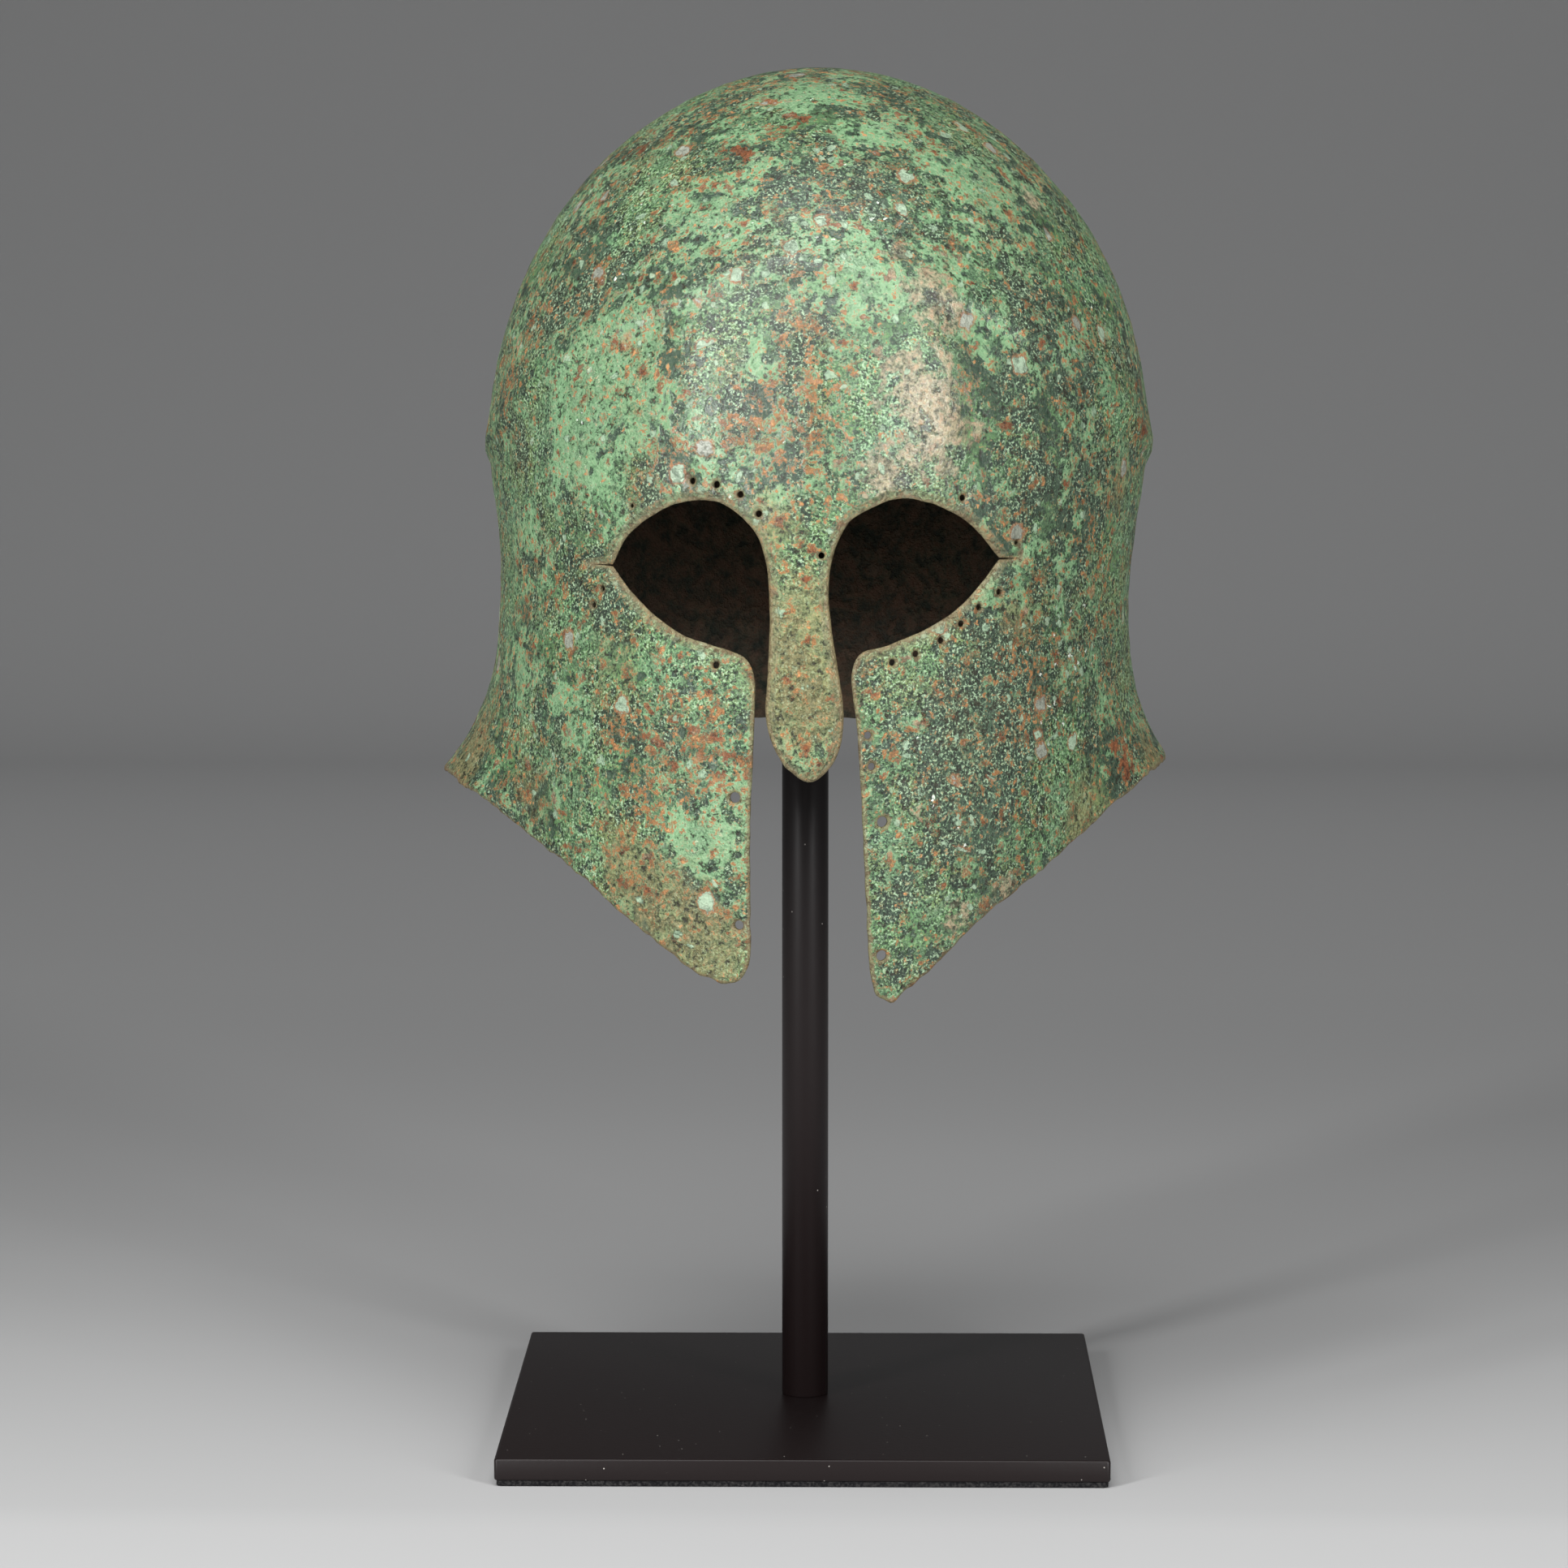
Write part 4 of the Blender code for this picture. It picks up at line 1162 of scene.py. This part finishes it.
def turned(name, profile, sides, centre=(0.0, 0.0)):
    """A solid turned round an upright axis from radii and heights, closed at both ends."""
    points = []
    for radius, height in profile[1:-1]:
        for k in range(sides):
            turn = 2 * math.pi * k / sides
            points.append((centre[0] + radius * math.cos(turn), centre[1] + radius * math.sin(turn),
                           height))
    rows = len(profile) - 2
    faces = []
    for row in range(rows - 1):
        for k in range(sides):
            a, b = row * sides + k, row * sides + (k + 1) % sides
            faces.append((a, b, b + sides, a + sides))
    bottom, top = len(points), len(points) + 1
    points += [(*centre, profile[0][1]), (*centre, profile[-1][1])]
    last = (rows - 1) * sides
    for k in range(sides):
        faces.append((bottom, (k + 1) % sides, k))
        faces.append((top, last + k, last + (k + 1) % sides))
    data = bpy.data.meshes.new(name)
    data.from_pydata(points, [], faces)
    data.shade_smooth()
    data.set_sharp_from_angle(angle=math.radians(50))
    return data


class HELMET_OT_stand(bpy.types.Operator):
    """Make the black plate and post"""

    bl_idname = "helmet.stand"
    bl_label = "Stand"

    def execute(self, context):
        enamel = enamel_material(context.scene.helmet_colours)
        low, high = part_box("base_plate")
        plate = rounded_slab(high[0] - low[0], low[2], high[2], PLATE_CORNER, PLATE_EDGE, 3)
        add_piece("plate", plate, enamel, "black_enamel", "base_plate")
        foot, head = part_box("stand_post")
        radius = (head[0] - foot[0]) / 2
        profile = [(0.0, high[2]), (radius - POST_EDGE, high[2]), (radius, high[2] + POST_EDGE),
                   (radius, head[2] - POST_EDGE), (radius - POST_EDGE, head[2]), (0.0, head[2])]
        add_piece("post", turned("post", profile, 96), enamel, "black_enamel", "stand_post")
        return {"FINISHED"}


def fibre_tree():
    """Geometry nodes: short fibres standing off a felt's edge, joined to the felt."""
    tree = bpy.data.node_groups.new("felt fibres", "GeometryNodeTree")
    interface = tree.interface
    interface.new_socket("Geometry", in_out="INPUT", socket_type="NodeSocketGeometry")
    for name, value in (("Length", FIBRE_LENGTH), ("Thickness", 0.05 * MM),
                        ("Density", 900000.0)):
        item = interface.new_socket(name, in_out="INPUT", socket_type="NodeSocketFloat")
        item.default_value = value
    interface.new_socket("Material", in_out="INPUT", socket_type="NodeSocketMaterial")
    interface.new_socket("Geometry", in_out="OUTPUT", socket_type="NodeSocketGeometry")
    source = add_node(tree, "NodeGroupInput").outputs
    normal = add_node(tree, "GeometryNodeInputNormal").outputs[0]
    slope = add_node(tree, "ShaderNodeSeparateXYZ", {0: normal}).outputs["Z"]
    flat = add_node(tree, "ShaderNodeMath", {0: slope}, operation="ABSOLUTE").outputs[0]
    side = add_node(tree, "FunctionNodeCompare", {0: flat, 1: 0.5},
                    operation="LESS_THAN").outputs[0]
    spots = add_node(tree, "GeometryNodeDistributePointsOnFaces",
                     {"Mesh": source["Geometry"], "Selection": side, "Density": source["Density"],
                      "Seed": 5})
    wild = add_node(tree, "FunctionNodeRandomValue",
                    {0: (-1.1, -1.1, 0.0), 1: (1.1, 1.1, 0.9), "Seed": 11},
                    data_type="FLOAT_VECTOR")
    lean = add_node(tree, "ShaderNodeVectorMath", {0: spots.outputs["Normal"], 1: wild.outputs[0]},
                    operation="ADD").outputs[0]
    turn = add_node(tree, "FunctionNodeAlignRotationToVector", {"Vector": lean}, axis="Z")
    size = add_node(tree, "FunctionNodeRandomValue", {2: 0.4, 3: 1.0, "Seed": 3},
                    data_type="FLOAT")
    fibre = add_node(tree, "GeometryNodeMeshCone",
                     {"Vertices": 3, "Radius Bottom": source["Thickness"],
                      "Depth": source["Length"]}, fill_type="TRIANGLE_FAN")
    hairs = add_node(tree, "GeometryNodeInstanceOnPoints",
                     {"Points": spots.outputs["Points"], "Instance": fibre.outputs["Mesh"],
                      "Rotation": turn.outputs[0], "Scale": size.outputs[1]})
    real = add_node(tree, "GeometryNodeRealizeInstances", {0: hairs.outputs["Instances"]})
    whole = add_node(tree, "GeometryNodeJoinGeometry")
    tree.links.new(source["Geometry"], whole.inputs[0])
    tree.links.new(real.outputs[0], whole.inputs[0])
    done = add_node(tree, "GeometryNodeSetMaterial",
                    {"Geometry": whole.outputs[0], "Material": source["Material"]})
    add_node(tree, "NodeGroupOutput", {"Geometry": done.outputs[0]})
    return tree


class HELMET_OT_felts(bpy.types.Operator):
    """Cut the felt under the plate and the cushion under the crown"""

    bl_idname = "helmet.felts"
    bl_label = "Felts"

    def execute(self, context):
        felt = felt_material()
        low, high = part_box("felt_underlay")
        slab = rounded_slab(high[0] - low[0] + 2 * FELT_SPREAD, low[2],
                            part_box("base_plate")[0][2], FELT_CORNER, FELT_EDGE, 2)
        blank = bpy.data.objects.new("felt blank", slab)
        context.collection.objects.link(blank)
        fibres = blank.modifiers.new("fibres", "NODES")
        fibres.node_group = fibre_tree()
        names = {item.name: item.identifier for item in fibres.node_group.interface.items_tree
                 if item.in_out == "INPUT"}
        fibres[names["Material"]] = felt
        fibres[names["Length"]] = FIBRE_LENGTH
        context.view_layer.update()
        grown = blank.evaluated_get(context.evaluated_depsgraph_get())
        data = bpy.data.meshes.new_from_object(grown)
        bpy.data.objects.remove(blank)
        add_piece("felt_foot", data, felt, "black_felt", "felt_underlay")

        low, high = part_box("crown_support")
        centre = ((low[0] + high[0]) / 2, (low[1] + high[1]) / 2)
        radius = (high[0] - low[0]) / 2
        profile = [(0.0, low[2]), (radius - CUSHION_EDGE, low[2])]
        for k in range(1, 5):
            turn = math.radians(-90 + 22.5 * k)
            profile.append((radius - CUSHION_EDGE * (1 - math.cos(turn)),
                            low[2] + CUSHION_EDGE * (1 + math.sin(turn))))
        for share in (1.0, 0.96, 0.88, 0.75, 0.6, 0.45, 0.3, 0.15, 0.05):
            wide = (share * radius / HALF_WIDTH) ** DOME_POWER
            fall = DOME_HEIGHT * (1.0 - (1.0 - wide) ** (1.0 / DOME_POWER))
            drop = 1.06 * fall + CUSHION_EDGE * max(0.0, share - 0.9) / 0.1
            profile.append((share * radius, high[2] - drop))
        profile.append((0.0, high[2]))
        cushion = add_piece("crown_cushion", turned("crown_cushion", profile, 64, centre), felt,
                            "black_felt", "crown_support")
        cushion.data.shade_smooth()
        return {"FINISHED"}


class HELMET_OT_studio(bpy.types.Operator):
    """Lay the floor and backdrop, hang the lights and set the camera"""

    bl_idname = "helmet.studio"
    bl_label = "Studio"

    def execute(self, context):
        studio = context.scene.helmet_studio
        self.sweep(context)
        target = Vector((0.0, 0.0, 0.27))
        for name, power, width, tall, degrees, height, distance in (
                ("left softbox", studio.key, 0.15, 1.3, -38.0, 0.55, 1.5),
                ("right softbox", studio.fill, 0.25, 1.3, 37.0, 0.5, 1.6),
                ("top softbox", studio.top, 1.4, 1.0, -10.0, 1.8, 0.75)):
            light = bpy.data.lights.new(name, "AREA")
            light.shape = "RECTANGLE"
            light.size = width
            light.size_y = tall
            light.energy = power
            lamp = bpy.data.objects.new(name, light)
            angle = math.radians(degrees)
            lamp.location = (distance * math.sin(angle), -distance * math.cos(angle), height)
            lamp.rotation_euler = (target - lamp.location).to_track_quat("-Z", "Y").to_euler()
            context.collection.objects.link(lamp)
        world = bpy.data.worlds.new("studio air")
        world.use_nodes = True
        background = world.node_tree.nodes["Background"]
        background.inputs["Color"].default_value = (*linear("#c8ccd0"), 1.0)
        background.inputs["Strength"].default_value = 0.12
        context.scene.world = world
        context.scene.view_settings.view_transform = "Standard"
        self.camera(context)
        return {"FINISHED"}

    def sweep(self, context):
        """Paper sweep: pale floor that curves up into a grey backdrop, its greys a painted light
        falloff.
        """
        reach, turn, top, width = 2.0, 1.0, 4.0, 5.0
        profile = [(-3.0, 0.0), (-1.0, 0.0), (0.0, 0.0), (reach, 0.0)]
        for k in range(1, 17):
            angle = math.pi / 2 * k / 16
            profile.append((reach + turn * math.sin(angle), turn * (1.0 - math.cos(angle))))
        profile.append((reach + turn, top))
        points = [(side * width, y, z) for y, z in profile for side in (-1, 1)]
        faces = [(2 * k, 2 * k + 1, 2 * k + 3, 2 * k + 2) for k in range(len(profile) - 1)]
        data = bpy.data.meshes.new("paper_sweep")
        data.from_pydata(points, [], faces)
        data.shade_smooth()
        # Painted light falloff: the paper's grey is ramped with depth to paint the fall of light,
        # pale in front, greyer behind the part, pale again where it starts to turn up and darker on
        # the wall, which also evens out the softboxes' own light
        material, tree, shader = new_material("paper with painted light falloff")
        place = add_node(tree, "ShaderNodeTexCoord").outputs["Object"]
        depth = add_node(tree, "ShaderNodeSeparateXYZ", {"Vector": place}).outputs["Y"]
        share = add_node(tree, "ShaderNodeMapRange", {"Value": depth, "From Min": -0.15,
                                                      "From Max": 3.0}).outputs["Result"]
        painted_falloff = add_node(tree, "ShaderNodeValToRGB", {"Fac": share})
        painted_falloff.color_ramp.interpolation = "B_SPLINE"
        fill_ramp(painted_falloff.color_ramp, (
            (0.01, linear("#b0b0b0")), (0.15, linear("#8a8a8a")), (0.35, linear("#909090")),
            (0.65, linear("#cccccc")), (0.99, linear("#8c8c8c"))))
        tree.links.new(painted_falloff.outputs["Color"], shader.inputs["Base Color"])
        shader.inputs["Roughness"].default_value = 0.8
        data.materials.append(material)
        paper = bpy.data.objects.new("paper_sweep", data)
        context.collection.objects.link(paper)

    def camera(self, context):
        """The camera that fits the plate's four corners."""
        data = bpy.data.cameras.new("camera")
        data.sensor_width = SENSOR_WIDTH
        data.lens = FOCAL_PIXELS / FRAME_PIXELS * SENSOR_WIDTH
        camera = bpy.data.objects.new("camera", data)
        pitch, yaw = math.radians(CAMERA_PITCH), math.radians(CAMERA_YAW)
        forward = Vector((-math.sin(yaw) * math.cos(pitch), math.cos(yaw) * math.cos(pitch),
                          -math.sin(pitch)))
        camera.location = CAMERA_PLACE
        camera.rotation_euler = forward.to_track_quat("-Z", "Y").to_euler()
        context.collection.objects.link(camera)
        context.scene.camera = camera


class HELMET_PT_panel(bpy.types.Panel):
    """Settings and steps of the helmet"""

    bl_idname = "HELMET_PT_panel"
    bl_label = "Corinthian Helmet"
    bl_space_type = "VIEW_3D"
    bl_region_type = "UI"
    bl_category = "Helmet"

    def draw(self, context):
        scene = context.scene
        for group in (scene.helmet_sizes, scene.helmet_colours, scene.helmet_studio):
            box = self.layout.box()
            for name in group.__annotations__:
                box.prop(group, name)
        for operator in STEPS:
            self.layout.operator(operator.bl_idname)


GROUPS = (HelmetSizes, HelmetColours, StudioSettings)
STEPS = (HELMET_OT_sheet, HELMET_OT_stand, HELMET_OT_felts, HELMET_OT_studio)


def register():
    for kind in GROUPS + STEPS + (HELMET_PT_panel,):
        bpy.utils.register_class(kind)
    bpy.types.Scene.helmet_sizes = PointerProperty(type=HelmetSizes)
    bpy.types.Scene.helmet_colours = PointerProperty(type=HelmetColours)
    bpy.types.Scene.helmet_studio = PointerProperty(type=StudioSettings)


def unregister():
    del bpy.types.Scene.helmet_studio
    del bpy.types.Scene.helmet_colours
    del bpy.types.Scene.helmet_sizes
    for kind in reversed(GROUPS + STEPS + (HELMET_PT_panel,)):
        bpy.utils.unregister_class(kind)


def main():
    register()
    bpy.ops.helmet.sheet()
    bpy.ops.helmet.stand()
    bpy.ops.helmet.felts()
    bpy.ops.helmet.studio()


if __name__ == "__main__":
    main()
